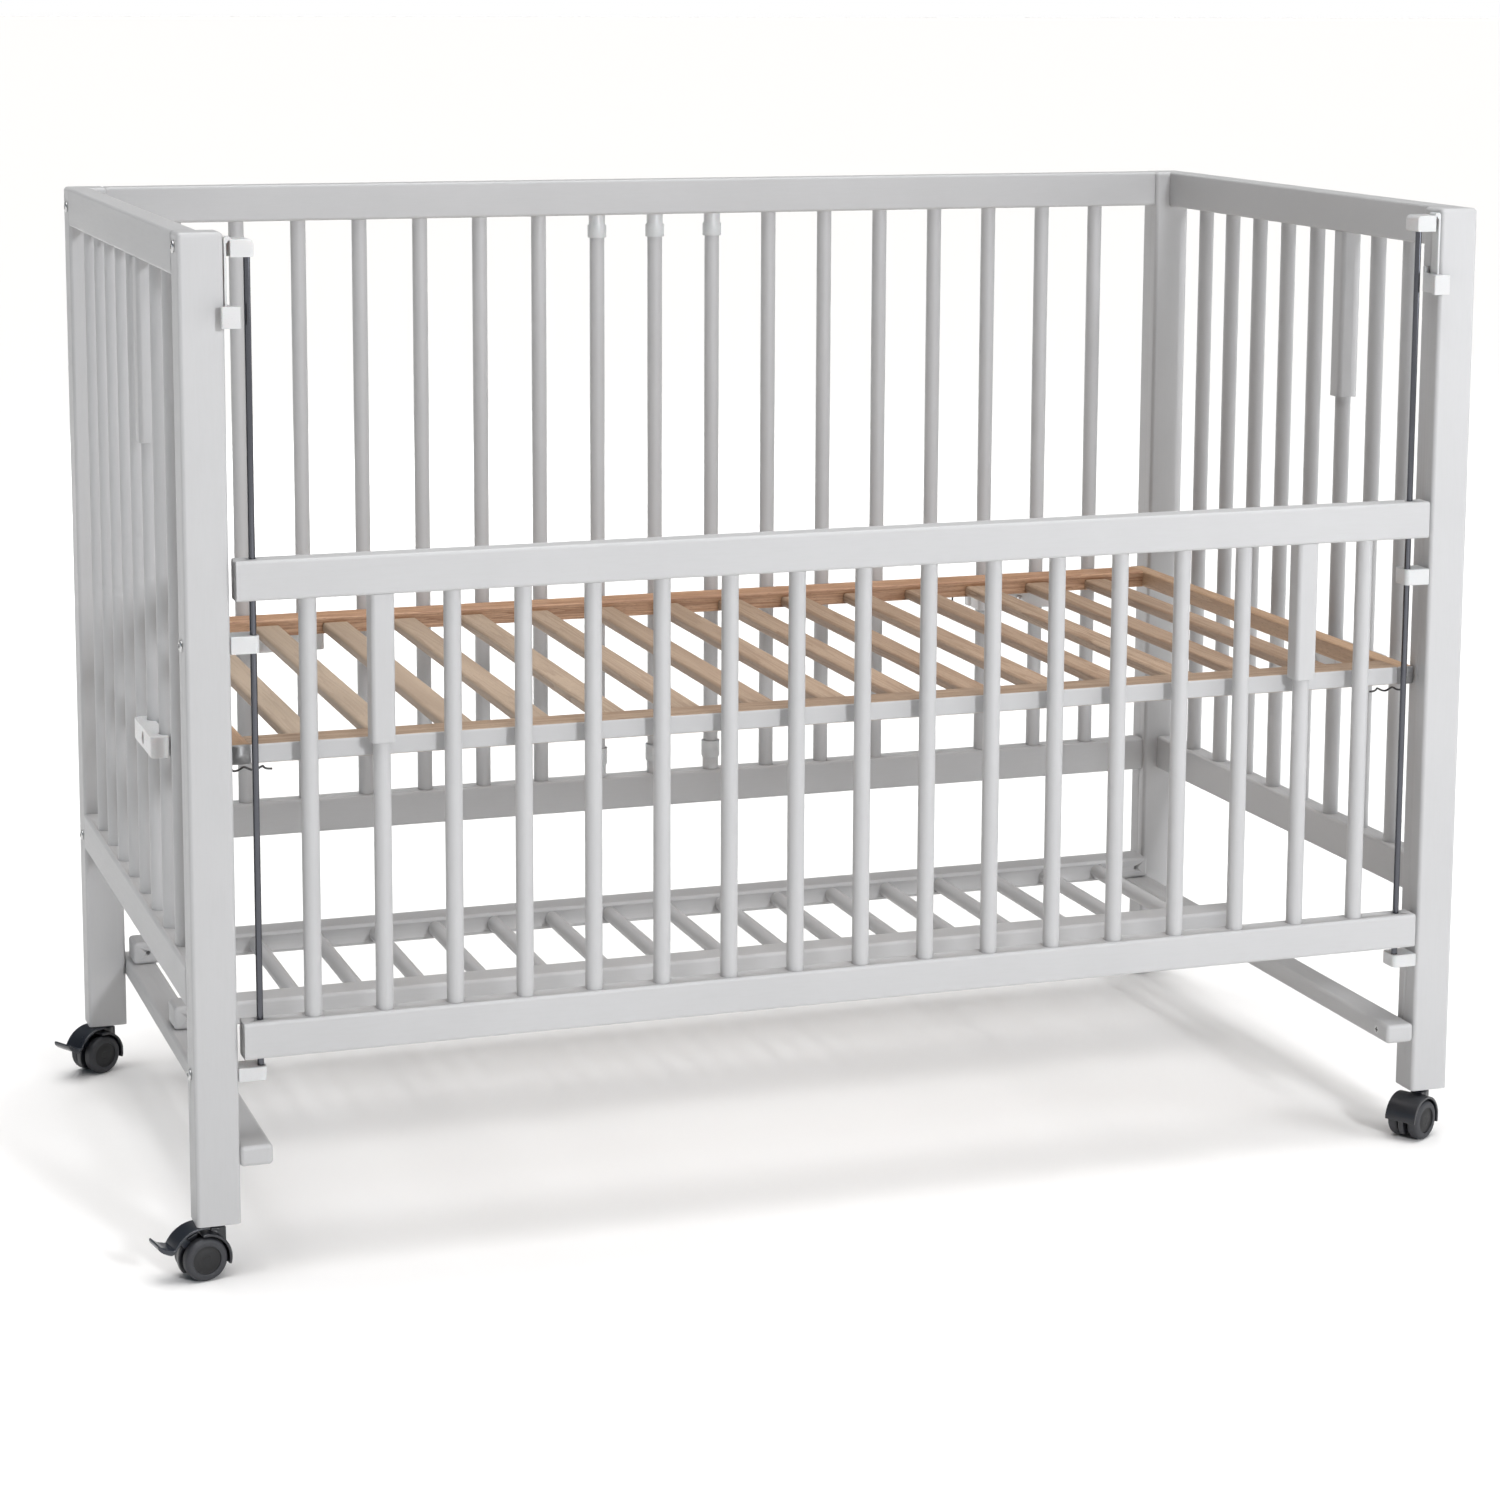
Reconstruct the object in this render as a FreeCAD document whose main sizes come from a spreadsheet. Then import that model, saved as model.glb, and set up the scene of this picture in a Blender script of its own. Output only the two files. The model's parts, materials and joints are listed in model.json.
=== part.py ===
"""Baby crib with a lowering front side, sliding slip bars, a height-adjustable slatted base
and four swivelling casters.

Millimetres. +Z is up and the floor is z = 0, X runs along the crib's length and the side that
lowers faces -Y. The crib is drawn with that side down, resting on its lower stop.
"""
import FreeCAD, Part
import Sketcher
import math
import os
import re

FRONT, REAR = -1, 1
LEFT, RIGHT = -1, 1

# Driving dimensions. Every solid below is bound to these cells.
SIZES = {
    # the whole crib
    "post_x": 615.0,             # centre of a post from the crib's middle
    "post_y": 319.5,
    "post_width": 40.0,
    "post_depth": 35.0,
    "post_round": 4.0,
    "post_foot": 50.5,           # underside of the posts, on top of the casters
    "crib_top": 941.0,
    "shift_x": 17.02,            # from the crib's middle to the middle of its footprint
    "shift_y": 7.5,
    # rails and bars
    "rail_thick": 24.0,
    "rail_round": 3.0,
    "bar_radius": 8.0,
    "bar_pitch": 65.67,
    "bar_seat": 12.0,            # how far a bar goes into its rail
    "block_side": 22.0,          # square blocks threaded on some of the bars
    "block_round": 4.5,
    "end_top_low": 902.0,
    "end_bottom_low": 245.0,
    "end_bottom_high": 283.0,
    "end_block_low": 730.0,
    "rear_top_low": 903.0,
    "rear_bottom_low": 243.5,
    "rear_bottom_high": 280.0,
    # the side that lowers
    "drop_y": 330.0,             # its plane, in front of the middle
    "drop_half": 590.0,
    "drop_top_low": 618.0,
    "drop_top_high": 654.0,
    "drop_bottom_low": 203.0,
    "drop_bottom_high": 236.5,
    "drop_block_low": 483.5,
    "rod_x": 573.8,
    "rod_radius": 3.0,
    "rod_low": 181.5,
    "bush_radius": 5.0,
    "slide_clearance": 0.06,
    # the rod's plastic brackets
    "bracket_inner": 569.0,
    "bracket_front": 337.0,
    "bracket_rear": 313.0,
    "bracket_round": 5.0,
    "top_bracket_low": 919.0,
    "top_bracket_high": 933.0,
    "middle_bracket_low": 570.5,
    "middle_bracket_high": 586.5,
    "bottom_bracket_high": 194.5,
    "bracket_slot": 589.4,       # open towards the post, for the catch's tongue
    "slot_rear": 323.5,
    "bracket_bolt_reach": 9.0,   # how far the bolt stops short of the bracket's inner end
    "top_bolt_drop": 5.0,
    "middle_bolt_rise": 7.5,
    "bottom_bolt_rise": 6.5,
    # catches
    "tongue_front": 336.0,
    "tongue_rear": 324.0,
    "tongue_inner": 592.5,
    "tongue_outer": 594.6,
    "curl_inner": 588.2,
    "curl_gap": 0.3,
    "curl_high": 4.0,            # how far the tongue's root stands above the bracket
    "root_x": 592.8,             # the line that the catch bends about
    "root_radius": 2.0,
    "hook_low": 858.5,
    "hook_high": 877.5,
    "tab_front": 349.0,
    "tab_rear": 342.8,
    "tab_inner": 583.0,
    "tab_outer": 600.0,
    "tab_thick": 5.2,            # of the part in front of the post
    "tab_round": 1.5,
    "arm_inner": 590.4,
    "arm_rear": 312.0,
    "nub_long": 5.0,
    "nub_high": 6.0,
    # slip bars
    "sleeve_radius": 10.25,
    "neck_radius": 8.9,
    "top_sleeve_low": 878.5,
    "top_sleeve_high": 893.0,
    "bottom_sleeve_low": 292.5,
    "bottom_sleeve_high": 312.5,
    "sleeve_lead": 1.5,
    "sleeve_taper": 3.0,
    "neck_lead": 1.0,
    "top_neck_entry": 3.0,
    "bottom_neck_entry": 5.0,
    "top_bore_depth": 20.0,
    "bottom_bore_depth": 8.0,
    # stretchers and the storage shelf
    "stretcher_inner": 565.0,
    "stretcher_low": 102.5,
    "stretcher_high": 121.5,
    "shelf_front": 31.0,         # front edge of the shelf's front rail
    "shelf_back": 313.0,         # rear edge of its rear rail
    "shelf_rail_wide": 36.0,
    "shelf_rail_high": 24.0,
    "shelf_hole_x": 575.0,
    "shelf_hole_radius": 2.5,
    # slatted base
    "base_half": 593.0,
    "base_front": 315.0,
    "base_back": 310.5,
    "base_low": 467.0,
    "base_high": 485.0,
    "base_rail_wide": 36.0,
    "base_end_wide": 18.0,
    "slat_wide": 28.0,
    "slat_low": 468.0,
    "slat_thick": 11.0,
    "slat_pitch": 73.75,
    "slat_round": 3.5,
    "slat_groove": 2.0,          # depth of the groove that the slats' ends stand in
    # clamps that hold the base to the bars
    "clamp_half": 49.0,
    "clamp_low": 447.0,
    "clamp_gap": 2.0,            # between the two jaws, at the bars' middle
    "clamp_outer_thick": 17.0,
    "clamp_inner_end": 580.0,
    "clamp_inner_rear": 290.0,
    "clamp_clearance": 0.3,
    "clamp_bolt_radius": 3.0,
    "clamp_sink": 4.0,           # depth of the counterbore for the bolt's head
    # bent wire under the base
    "wire_radius": 1.0,
    "wire_drop": 9.0,
    "wire_run": 34.0,
    "wire_bend": 3.0,
    "wire_edge": 3.0,            # from the base's ends
    "wire_front": 15.0,          # from its front edge
    "wire_rear": 20.0,           # from its rear edge
    "wire_rear_x": 345.0,
    # bolts and screws
    "bolt_radius": 3.0,
    "bolt_head_radius": 5.5,
    "bolt_head_high": 2.5,
    "screw_radius": 2.25,
    "screw_head_radius": 4.5,
    "rear_bolt_rise": 18.0,
    "rear_low_bolt_rise": 14.5,
    "post_screw_in": 4.5,        # from the post's middle, towards the crib's
    "post_screw_past": 5.0,
    "shelf_screw_in": 15.0,
    "shelf_screw_part": 0.7,     # of the shelf rail's height
    "base_screw_past": 30.0,
    "nut_high": 3.0,
    "nut_room": 0.5,             # around a sunk head
    # casters, drawn about the stem with the wheels trailing towards -X
    "wheel_radius": 20.0,
    "wheel_inner": 5.8,
    "wheel_outer": 17.3,
    "hub_radius": 13.0,
    "hub_recess": 1.5,
    "trail": 15.0,
    "axle_radius": 2.0,
    "web_half": 3.0,
    "hood_inner": 21.5,
    "hood_outer": 24.5,
    "housing_radius": 7.5,
    "housing_high": 45.8,
    "collar_low": 46.0,
    "stem_radius": 4.0,
    "stem_low": 30.0,
    "stem_seat": 35.0,           # how far the stem goes up into the post
    "pedal_half": 13.0,
    "pedal_radius": 30.5,
    "pedal_thick": 2.5,
}

HOOD_FIRST = -17                 # degrees round the axle from +X
HOOD_BRAKED = 98
HOOD_FREE = 178
PEDAL_FIRST = 78
PEDAL_LAST = 155
PEDAL_LIP = (                    # the lip's outline in the caster's own xz plane
    (-42.6, 31.2), (-44.4, 33.4), (-51, 34.6), (-57.6, 39.6), (-59.2, 38.6), (-58.4, 35.6),
    (-52, 30.4), (-45, 28.4), (-41.6, 28.6))
WIRE_WAVE = ((0.25, 3.0), (0.5, 0.0), (0.75, 3.0), (1.0, 0.0))
END_BARS = 8
LONG_BARS = 17
SLIP_BARS = (7, 8, 9)            # counted from 0 along the rear side
BLOCK_BAR_END = 2                # the third bar from the front of each end
BLOCK_BARS_DROP = (1, 15)
REAR_CLAMP_BARS = ((1, 2), (14, 15))
END_CLAMP_BARS = (1, 2)
SLATS = 15
CASTERS = {                      # side, end, swivel angle at rest in degrees, has a brake pedal
    "front_left": (LEFT, FRONT, 10.0, True),
    "front_right": (RIGHT, FRONT, 30.0, False),
    "rear_left": (LEFT, REAR, 30.0, True),
    "rear_right": (RIGHT, REAR, 30.0, False),
}
BRACKET_BOLTS = ("top_bracket_high - top_bolt_drop", "middle_bracket_low + middle_bolt_rise",
                 "rod_low + bottom_bolt_rise")
REAR_BOLTS = ("rear_top_low + rear_bolt_rise", "rear_bottom_low + rear_low_bolt_rise")

X_AXIS = FreeCAD.Vector(1, 0, 0)
Y_AXIS = FreeCAD.Vector(0, 1, 0)
Z_AXIS = FreeCAD.Vector(0, 0, 1)
TURN = {
    "x": FreeCAD.Rotation(Y_AXIS, 90),
    "y": FreeCAD.Rotation(X_AXIS, -90),
    "z": FreeCAD.Rotation(),
}

doc = FreeCAD.newDocument("BabyCrib")
sheet = doc.addObject("Spreadsheet::Sheet", "Sizes")
for row, (alias, value) in enumerate(SIZES.items(), start=1):
    sheet.set(f"A{row}", alias)
    sheet.set(f"B{row}", str(value))
    sheet.setAlias(f"B{row}", alias)
doc.recompute()

nodes = []


# ---------------------------------------------------------------- small tools

def cells(text):
    """An expression with each size's name turned into its cell."""
    def swap(match):
        word = match.group()
        return "Sizes." + word if word in SIZES else word
    return re.sub(r"[a-z_]\w*", swap, str(text))


def bind(thing, prop, text):
    thing.setExpression(prop, cells(text))


def place(thing, x="0", y="0", z="0"):
    """Put a solid at a point given from the crib's middle."""
    bind(thing, ".Placement.Base.x", f"{x} + shift_x")
    bind(thing, ".Placement.Base.y", f"{y} + shift_y")
    bind(thing, ".Placement.Base.z", z)


def block(name, x, y, z):
    """A box between two expressions along each axis."""
    solid = doc.addObject("Part::Box", name)
    for prop, (low, high) in (("Length", x), ("Width", y), ("Height", z)):
        bind(solid, prop, f"({high}) - ({low})")
    place(solid, x[0], y[0], z[0])
    return solid


def sided(side, inner, outer):
    """The range from inner to outer on one side of the crib, low end first."""
    return (inner, outer) if side > 0 else (f"-({outer})", f"-({inner})")


def cylinder(name, axis, radius, start, length):
    """A cylinder that leaves the point start along +x, +y or +z."""
    solid = doc.addObject("Part::Cylinder", name)
    bind(solid, "Radius", radius)
    bind(solid, "Height", length)
    solid.Placement = FreeCAD.Placement(FreeCAD.Vector(), TURN[axis])
    place(solid, *start)
    return solid


def cone(name, axis, low_radius, high_radius, start, length):
    solid = doc.addObject("Part::Cone", name)
    bind(solid, "Radius1", low_radius)
    bind(solid, "Radius2", high_radius)
    bind(solid, "Height", length)
    solid.Placement = FreeCAD.Placement(FreeCAD.Vector(), TURN[axis])
    place(solid, *start)
    return solid


def compound(name, pieces):
    group = doc.addObject("Part::Compound", name)
    group.Links = pieces
    return group


def fuse(name, pieces):
    joined = doc.addObject("Part::MultiFuse", name)
    joined.Shapes = pieces
    joined.Refine = True
    return joined


def cut(name, base, tool):
    remains = doc.addObject("Part::Cut", name)
    remains.Base = base
    remains.Tool = tool
    return remains


def direction(edge):
    return edge.Vertexes[-1].Point.sub(edge.Vertexes[0].Point).normalize()


def along(axis):
    """A test for straight edges parallel to one axis."""
    return lambda edge: abs(abs(direction(edge).dot(axis)) - 1) < 1e-6


def rounded(name, base, radius, wanted=lambda edge: True):
    """Round the wanted edges of a solid."""
    doc.recompute()
    edges = enumerate(base.Shape.Edges, start=1)
    size = float(sheet.get(radius))
    fillet = doc.addObject("Part::Fillet", name)
    fillet.Base = base
    fillet.Edges = [(index, size, size) for index, edge in edges if wanted(edge)]
    return fillet


def node(thing, label):
    """Keep a finished sub-part under its own name."""
    thing.Label = label
    nodes.append(thing)
    return thing


# ---------------------------------------------------------------- sketches

def new_body(name):
    body = doc.addObject("PartDesign::Body", name)
    place(body)
    return body


def new_sketch(body, name, role, height="0"):
    """A sketch on one of the body's origin planes, raised along the plane's normal."""
    drawing = body.newObject("Sketcher::SketchObject", name)
    support = next(item for item in body.Origin.OriginFeatures if item.Role == role)
    drawing.AttachmentSupport = [(support, "")]
    drawing.MapMode = "FlatFace"
    bind(drawing, ".AttachmentOffset.Base.z", height)
    return drawing


def fix_point(drawing, geometry, point, x, y):
    """Bind one point of a sketch to two expressions."""
    for kind, text in (("DistanceX", x), ("DistanceY", y)):
        index = drawing.addConstraint(Sketcher.Constraint(kind, -1, 1, geometry, point, 1.0))
        bind(drawing, f"Constraints[{index}]", text)


def number(text):
    """The value of an expression, read back from the sheet."""
    names = {alias: float(sheet.get(alias)) for alias in SIZES}
    total = text
    for alias in sorted(names, key=len, reverse=True):
        total = re.sub(rf"\b{alias}\b", f"({names[alias]})", total)
    return float(FreeCAD.Units.Quantity(total))


def draw_outline(drawing, corners):
    """A closed outline of straight lines through corners given as pairs of expressions."""
    points = [FreeCAD.Vector(number(x), number(y), 0) for x, y in corners]
    count = len(points)
    for index, start in enumerate(points):
        drawing.addGeometry(Part.LineSegment(start, points[(index + 1) % count]), False)
    for index in range(count):
        following = (index + 1) % count
        drawing.addConstraint(Sketcher.Constraint("Coincident", index, 2, following, 1))
    for index, (x, y) in enumerate(corners):
        fix_point(drawing, index, 1, x, y)


def draw_ring(drawing, x, y, radius):
    """A circle with its middle and radius given as expressions."""
    middle = FreeCAD.Vector(number(x), number(y), 0)
    drawing.addGeometry(Part.Circle(middle, Z_AXIS, number(radius)), False)
    fix_point(drawing, 0, 3, x, y)
    index = drawing.addConstraint(Sketcher.Constraint("Radius", 0, number(radius)))
    bind(drawing, f"Constraints[{index}]", radius)


def extrude(body, kind, name, drawing, length, reverse=False):
    """Pad or pocket a sketch by one length."""
    feature = body.newObject(kind, name)
    feature.Profile = drawing
    bind(feature, "Length", length)
    feature.Reversed = reverse
    return feature


def revolve(body, name, drawing):
    """Turn a sketch all the way round its own vertical axis."""
    feature = body.newObject("PartDesign::Revolution", name)
    feature.Profile = drawing
    feature.ReferenceAxis = (drawing, ["V_Axis"])
    feature.Angle = 360
    return feature


# ---------------------------------------------------------------- bars

def bar_places(count):
    """Where the bars of one side stand, from the middle of that side."""
    return [f"{index - (count - 1) / 2} * bar_pitch" for index in range(count)]


def upright(name, x, y, low, high):
    return cylinder(name, "z", "bar_radius", (x, y, low), f"({high}) - ({low})")


def square_block(name, x, y, low, high, bar):
    """A square wooden block that is threaded on a bar under its top rail."""
    half = "block_side / 2"
    solid = block(name, (f"{x} - {half}", f"{x} + {half}"), (f"{y} - {half}", f"{y} + {half}"), (low, high))
    soft = rounded(name + "_soft", solid, "block_round", along(Z_AXIS))
    return cut(name + "_bored", soft, bar)


# ---------------------------------------------------------------- bolts and screws

def bolt(name, side, y, z, tip):
    """A bolt driven inwards through a post, its low round head on the post's outer face."""
    face = "post_x + post_width / 2"
    shank_x = tip if side > 0 else f"-({face})"
    shank = cylinder(name + "_shank", "x", "bolt_radius", (shank_x, y, z), f"{face} - ({tip})")
    head_x = face if side > 0 else f"-({face}) - bolt_head_high"
    head = cylinder(name + "_head", "x", "bolt_head_radius", (head_x, y, z), "bolt_head_high")
    return fuse(name, [shank, head])


def screw_across(name, side, y, z, face, tip):
    """A countersunk screw from a stretcher's inner face out into its post."""
    sink = "screw_head_radius - screw_radius"
    start = face if side > 0 else f"-({tip})"
    shank = cylinder(name + "_shank", "x", "screw_radius", (start, y, z), f"({tip}) - ({face})")
    radii = ("screw_head_radius", "screw_radius") if side > 0 else ("screw_radius", "screw_head_radius")
    head_x = face if side > 0 else f"-({face}) - ({sink})"
    head = cone(name + "_head", "x", *radii, (head_x, y, z), sink)
    return fuse(name, [shank, head])


def screw_up(name, x, y, low, high):
    """A countersunk screw driven upwards."""
    shank = cylinder(name + "_shank", "z", "screw_radius", (x, y, low), f"({high}) - ({low})")
    sink = "screw_head_radius - screw_radius"
    head = cone(name + "_head", "z", "screw_head_radius", "screw_radius", (x, y, low), sink)
    return fuse(name, [shank, head])


def make_bolts():
    bolts = []
    for side, word in ((LEFT, "left"), (RIGHT, "right")):
        for index, height in enumerate(BRACKET_BOLTS):
            name = f"bracket_bolt_{word}_{index}"
            bolts.append(bolt(name, side, "-post_y", height, "bracket_inner + bracket_bolt_reach"))
        for index, height in enumerate(REAR_BOLTS):
            bolts.append(bolt(f"rail_bolt_{word}_{index}", side, "post_y - 4.5", height, "post_x - 60"))
    return node(compound("frame_bolts", bolts), "frame_bolts")


def make_screws():
    screws = []
    middle = "(stretcher_low + stretcher_high) / 2"
    for side, word in ((LEFT, "left"), (RIGHT, "right")):
        for end, place_name in ((FRONT, "front"), (REAR, "rear")):
            screws.append(screw_across(f"post_screw_{word}_{place_name}", side,
                                       f"{end} * (post_y - post_screw_in)", middle, "stretcher_inner",
                                       "post_x + post_screw_past"))
        for row, y in (("front", "shelf_front + shelf_rail_wide / 2"),
                       ("rear", "shelf_back - shelf_rail_wide / 2")):
            screws.append(screw_up(f"shelf_screw_{word}_{row}",
                                   f"{side} * (stretcher_inner + shelf_screw_in)", y, "stretcher_low",
                                   "stretcher_high + shelf_rail_high * shelf_screw_part"))
    return node(compound("frame_screws", screws), "frame_screws")


# ---------------------------------------------------------------- fixed frame

def make_stems():
    """Steel caster stems, each with the plastic collar that the swivel turns under."""
    stems = []
    for name, (side, end, _, _) in CASTERS.items():
        centre = (f"{side} * post_x", f"{end} * post_y")
        pin = cylinder(f"stem_pin_{name}", "z", "stem_radius", (*centre, "stem_low"),
                       "post_foot + stem_seat - stem_low")
        collar = cylinder(f"stem_collar_{name}", "z", "housing_radius", (*centre, "collar_low"),
                          "post_foot - collar_low")
        stems.append(fuse(f"stem_{name}", [pin, collar]))
    return node(compound("caster_stems", stems), "caster_stems")


def make_post(side, end, name, fixings):
    body = new_body(f"{name}_body")
    section = new_sketch(body, f"{name}_section", "XY_Plane", "post_foot")
    x0, x1 = f"{side} * post_x - post_width / 2", f"{side} * post_x + post_width / 2"
    y0, y1 = f"{end} * post_y - post_depth / 2", f"{end} * post_y + post_depth / 2"
    draw_outline(section, ((x0, y0), (x1, y0), (x1, y1), (x0, y1)))
    extrude(body, "PartDesign::Pad", f"{name}_pad", section, "crib_top - post_foot")
    doc.recompute()
    soften(body, f"{name}_edges", "post_round", lambda edge: edge.CenterOfMass.z > number("post_foot + 1"))
    return node(cut(name, body, fixings), name)


def soften(body, name, radius, wanted):
    """Round the wanted edges of a PartDesign body."""
    base = body.Tip
    names = [f"Edge{i}" for i, edge in enumerate(base.Shape.Edges, start=1) if wanted(edge)]
    fillet = body.newObject("PartDesign::Fillet", name)
    fillet.Base = (base, names)
    bind(fillet, "Radius", radius)
    doc.recompute()
    return fillet


def make_rail(name, x, y, z, tools, wanted, radius="rail_round"):
    """A rounded wooden rail, bored for whatever goes into it."""
    plain = block(name + "_plain", x, y, z)
    soft = rounded(name + "_soft", plain, radius, wanted)
    bored = cut(name, soft, compound(name + "_fixings", tools)) if tools else soft
    return node(bored, name)


def make_end(side, word):
    """One fixed end: eight bars between two rails, with one square block."""
    outer = "post_x + post_width / 2"
    across = sided(side, f"{outer} - rail_thick", outer)
    depth = ("-(post_y - post_depth / 2)", "post_y - post_depth / 2")
    x = f"{side} * ({outer} - rail_thick / 2)"
    bars = [upright(f"{word}_end_bar_{i}", x, y, "end_bottom_high - bar_seat", "end_top_low + bar_seat")
            for i, y in enumerate(bar_places(END_BARS))]
    group = node(compound(f"{word}_end_bars", bars), f"{word}_end_bars")
    make_rail(f"{word}_end_top_rail", across, depth, ("end_top_low", "crib_top"), [group], along(Y_AXIS))
    make_rail(f"{word}_end_bottom_rail", across, depth, ("end_bottom_low", "end_bottom_high"), [group],
              along(Y_AXIS))
    return square_block(f"{word}_end_block", x, bar_places(END_BARS)[BLOCK_BAR_END], "end_block_low",
                        "end_top_low", bars[BLOCK_BAR_END])


def make_rear(bolts):
    """The fixed rear side; three of its bars are slip bars, so their places get wide bores."""
    places = bar_places(LONG_BARS)
    bars = [upright(f"rear_bar_{i}", places[i], "post_y", "rear_bottom_high - bar_seat",
                    "rear_top_low + bar_seat") for i in range(LONG_BARS) if i not in SLIP_BARS]
    group = node(compound("rear_bars", bars), "rear_bars")
    bore = "neck_radius + slide_clearance"
    top_bores = [cylinder(f"top_bore_{i}", "z", bore, (places[i], "post_y", "rear_top_low"),
                          "top_bore_depth")
                 for i in SLIP_BARS]
    low_bores = [cylinder(f"low_bore_{i}", "z", bore,
                          (places[i], "post_y", "rear_bottom_high - bottom_bore_depth"),
                          "bottom_bore_depth")
                 for i in SLIP_BARS]
    length = ("-(post_x - post_width / 2)", "post_x - post_width / 2")
    thick = ("post_y - rail_thick / 2", "post_y + rail_thick / 2")
    make_rail("rear_top_rail", length, thick, ("rear_top_low", "crib_top"), [group, bolts] + top_bores,
              along(X_AXIS))
    make_rail("rear_bottom_rail", length, thick, ("rear_bottom_low", "rear_bottom_high"),
              [group, bolts] + low_bores, along(X_AXIS))


def make_slip_bar(number_on_side, index):
    """A removable bar with a plastic cap on each end; the caps' necks run in the rails' bores."""
    x = bar_places(LONG_BARS)[index]
    bar = upright(f"slip_bar_{number_on_side}", x, "post_y", "bottom_sleeve_low", "top_sleeve_high")
    node(bar, f"slip_bar_{number_on_side}")
    top = slip_cap(f"top_cap_{number_on_side}", x, (
        ("0", "top_sleeve_high"), ("bar_radius", "top_sleeve_high"), ("bar_radius", "top_sleeve_low"),
        ("sleeve_radius", "top_sleeve_low"), ("sleeve_radius", "top_sleeve_high - sleeve_lead"),
        ("neck_radius", "top_sleeve_high"),
        ("neck_radius", "rear_top_low + top_neck_entry - neck_lead"),
        ("neck_radius - neck_lead", "rear_top_low + top_neck_entry"),
        ("0", "rear_top_low + top_neck_entry")))
    low = slip_cap(f"low_cap_{number_on_side}", x, (
        ("0", "bottom_sleeve_low"), ("bar_radius", "bottom_sleeve_low"),
        ("bar_radius", "bottom_sleeve_high"),
        ("sleeve_radius", "bottom_sleeve_high"), ("sleeve_radius", "bottom_sleeve_low + sleeve_taper"),
        ("neck_radius", "bottom_sleeve_low"),
        ("neck_radius", "rear_bottom_high - bottom_neck_entry + neck_lead"),
        ("neck_radius - neck_lead", "rear_bottom_high - bottom_neck_entry"),
        ("0", "rear_bottom_high - bottom_neck_entry")))
    label = f"slip_bar_{number_on_side}_caps"
    node(compound(label, [top, low]), label)


def slip_cap(name, x, outline):
    body = new_body(name)
    bind(body, ".Placement.Base.x", f"{x} + shift_x")
    bind(body, ".Placement.Base.y", "post_y + shift_y")
    drawing = new_sketch(body, name + "_section", "XZ_Plane")
    draw_outline(drawing, outline)
    revolve(body, name + "_turned", drawing)
    return body


def make_stretcher(side, word, fixings):
    x = sided(side, "stretcher_inner", "post_x - post_width / 2")
    y = ("-(post_y + post_depth / 2)", "post_y + post_depth / 2")
    return make_rail(f"{word}_stretcher", x, y, ("stretcher_low", "stretcher_high"), [fixings],
                     lambda edge: True, "post_round")


def make_shelf(screws):
    z = ("stretcher_high", "stretcher_high + shelf_rail_high")
    middle = "stretcher_high + shelf_rail_high / 2"
    front = ("shelf_front", "shelf_front + shelf_rail_wide")
    back = ("shelf_back - shelf_rail_wide", "shelf_back")
    length = ("-drop_half", "drop_half")
    start = f"{front[1]} - bar_seat"
    dowels = [cylinder(f"shelf_dowel_{i}", "y", "bar_radius", (x, start, middle),
                       f"({back[0]} + bar_seat) - ({start})")
              for i, x in enumerate(bar_places(LONG_BARS))]
    group = node(compound("shelf_dowels", dowels), "shelf_dowels")
    holes = []
    for side, word in ((LEFT, "left"), (RIGHT, "right")):
        for row, y in (("front", front[0]), ("rear", back[0])):
            holes.append(cylinder(f"shelf_hole_{word}_{row}", "y", "shelf_hole_radius",
                                  (f"{side} * shelf_hole_x", y, middle), "bar_seat"))
    for name, y in (("shelf_front_rail", front), ("shelf_rear_rail", back)):
        make_rail(name, length, y, z, [group, screws] + holes, lambda edge: True, "post_round")


def make_rods():
    for side, word in ((LEFT, "left"), (RIGHT, "right")):
        rod = cylinder(f"{word}_guide_rod", "z", "rod_radius", (f"{side} * rod_x", "-drop_y", "rod_low"),
                       "top_bracket_high - rod_low")
        node(rod, f"{word}_guide_rod")
        yield rod


def make_bracket(name, side, low, high, fixings):
    """A plastic bracket that holds the guide rod beside its post."""
    x = sided(side, "bracket_inner", "post_x - post_width / 2")
    plain = block(name + "_plain", x, ("-bracket_front", "-bracket_rear"), (low, high))
    inner_end = number("bracket_inner + 1") * side
    shift = number("shift_x")

    def at_inner_end(edge):
        return along(Z_AXIS)(edge) and (inner_end - (edge.CenterOfMass.x - shift)) * side > 0

    soft = rounded(name + "_soft", plain, "bracket_round", at_inner_end)
    return cut(name, soft, fixings)


def make_brackets(rods, bolts):
    tops = []
    lower = []
    for side, word, rod in ((LEFT, "left", rods[0]), (RIGHT, "right", rods[1])):
        slot = block(f"tongue_slot_{word}", sided(side, "bracket_slot", "post_x - post_width / 2"),
                     ("-bracket_front", "-slot_rear"), ("top_bracket_low", "top_bracket_high"))
        holes = compound(f"bracket_holes_{word}", [rod, bolts])
        top_holes = compound(f"top_bracket_holes_{word}", [rod, bolts, slot])
        tops.append(make_bracket(f"top_bracket_{word}", side, "top_bracket_low", "top_bracket_high",
                                 top_holes))
        lower.append(make_bracket(f"middle_bracket_{word}", side, "middle_bracket_low",
                                  "middle_bracket_high", holes))
        lower.append(make_bracket(f"bottom_bracket_{word}", side, "rod_low", "bottom_bracket_high", holes))
    node(compound("rod_top_brackets", tops), "rod_top_brackets")
    node(compound("rod_lower_brackets", lower), "rod_lower_brackets")


# ---------------------------------------------------------------- catches

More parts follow.
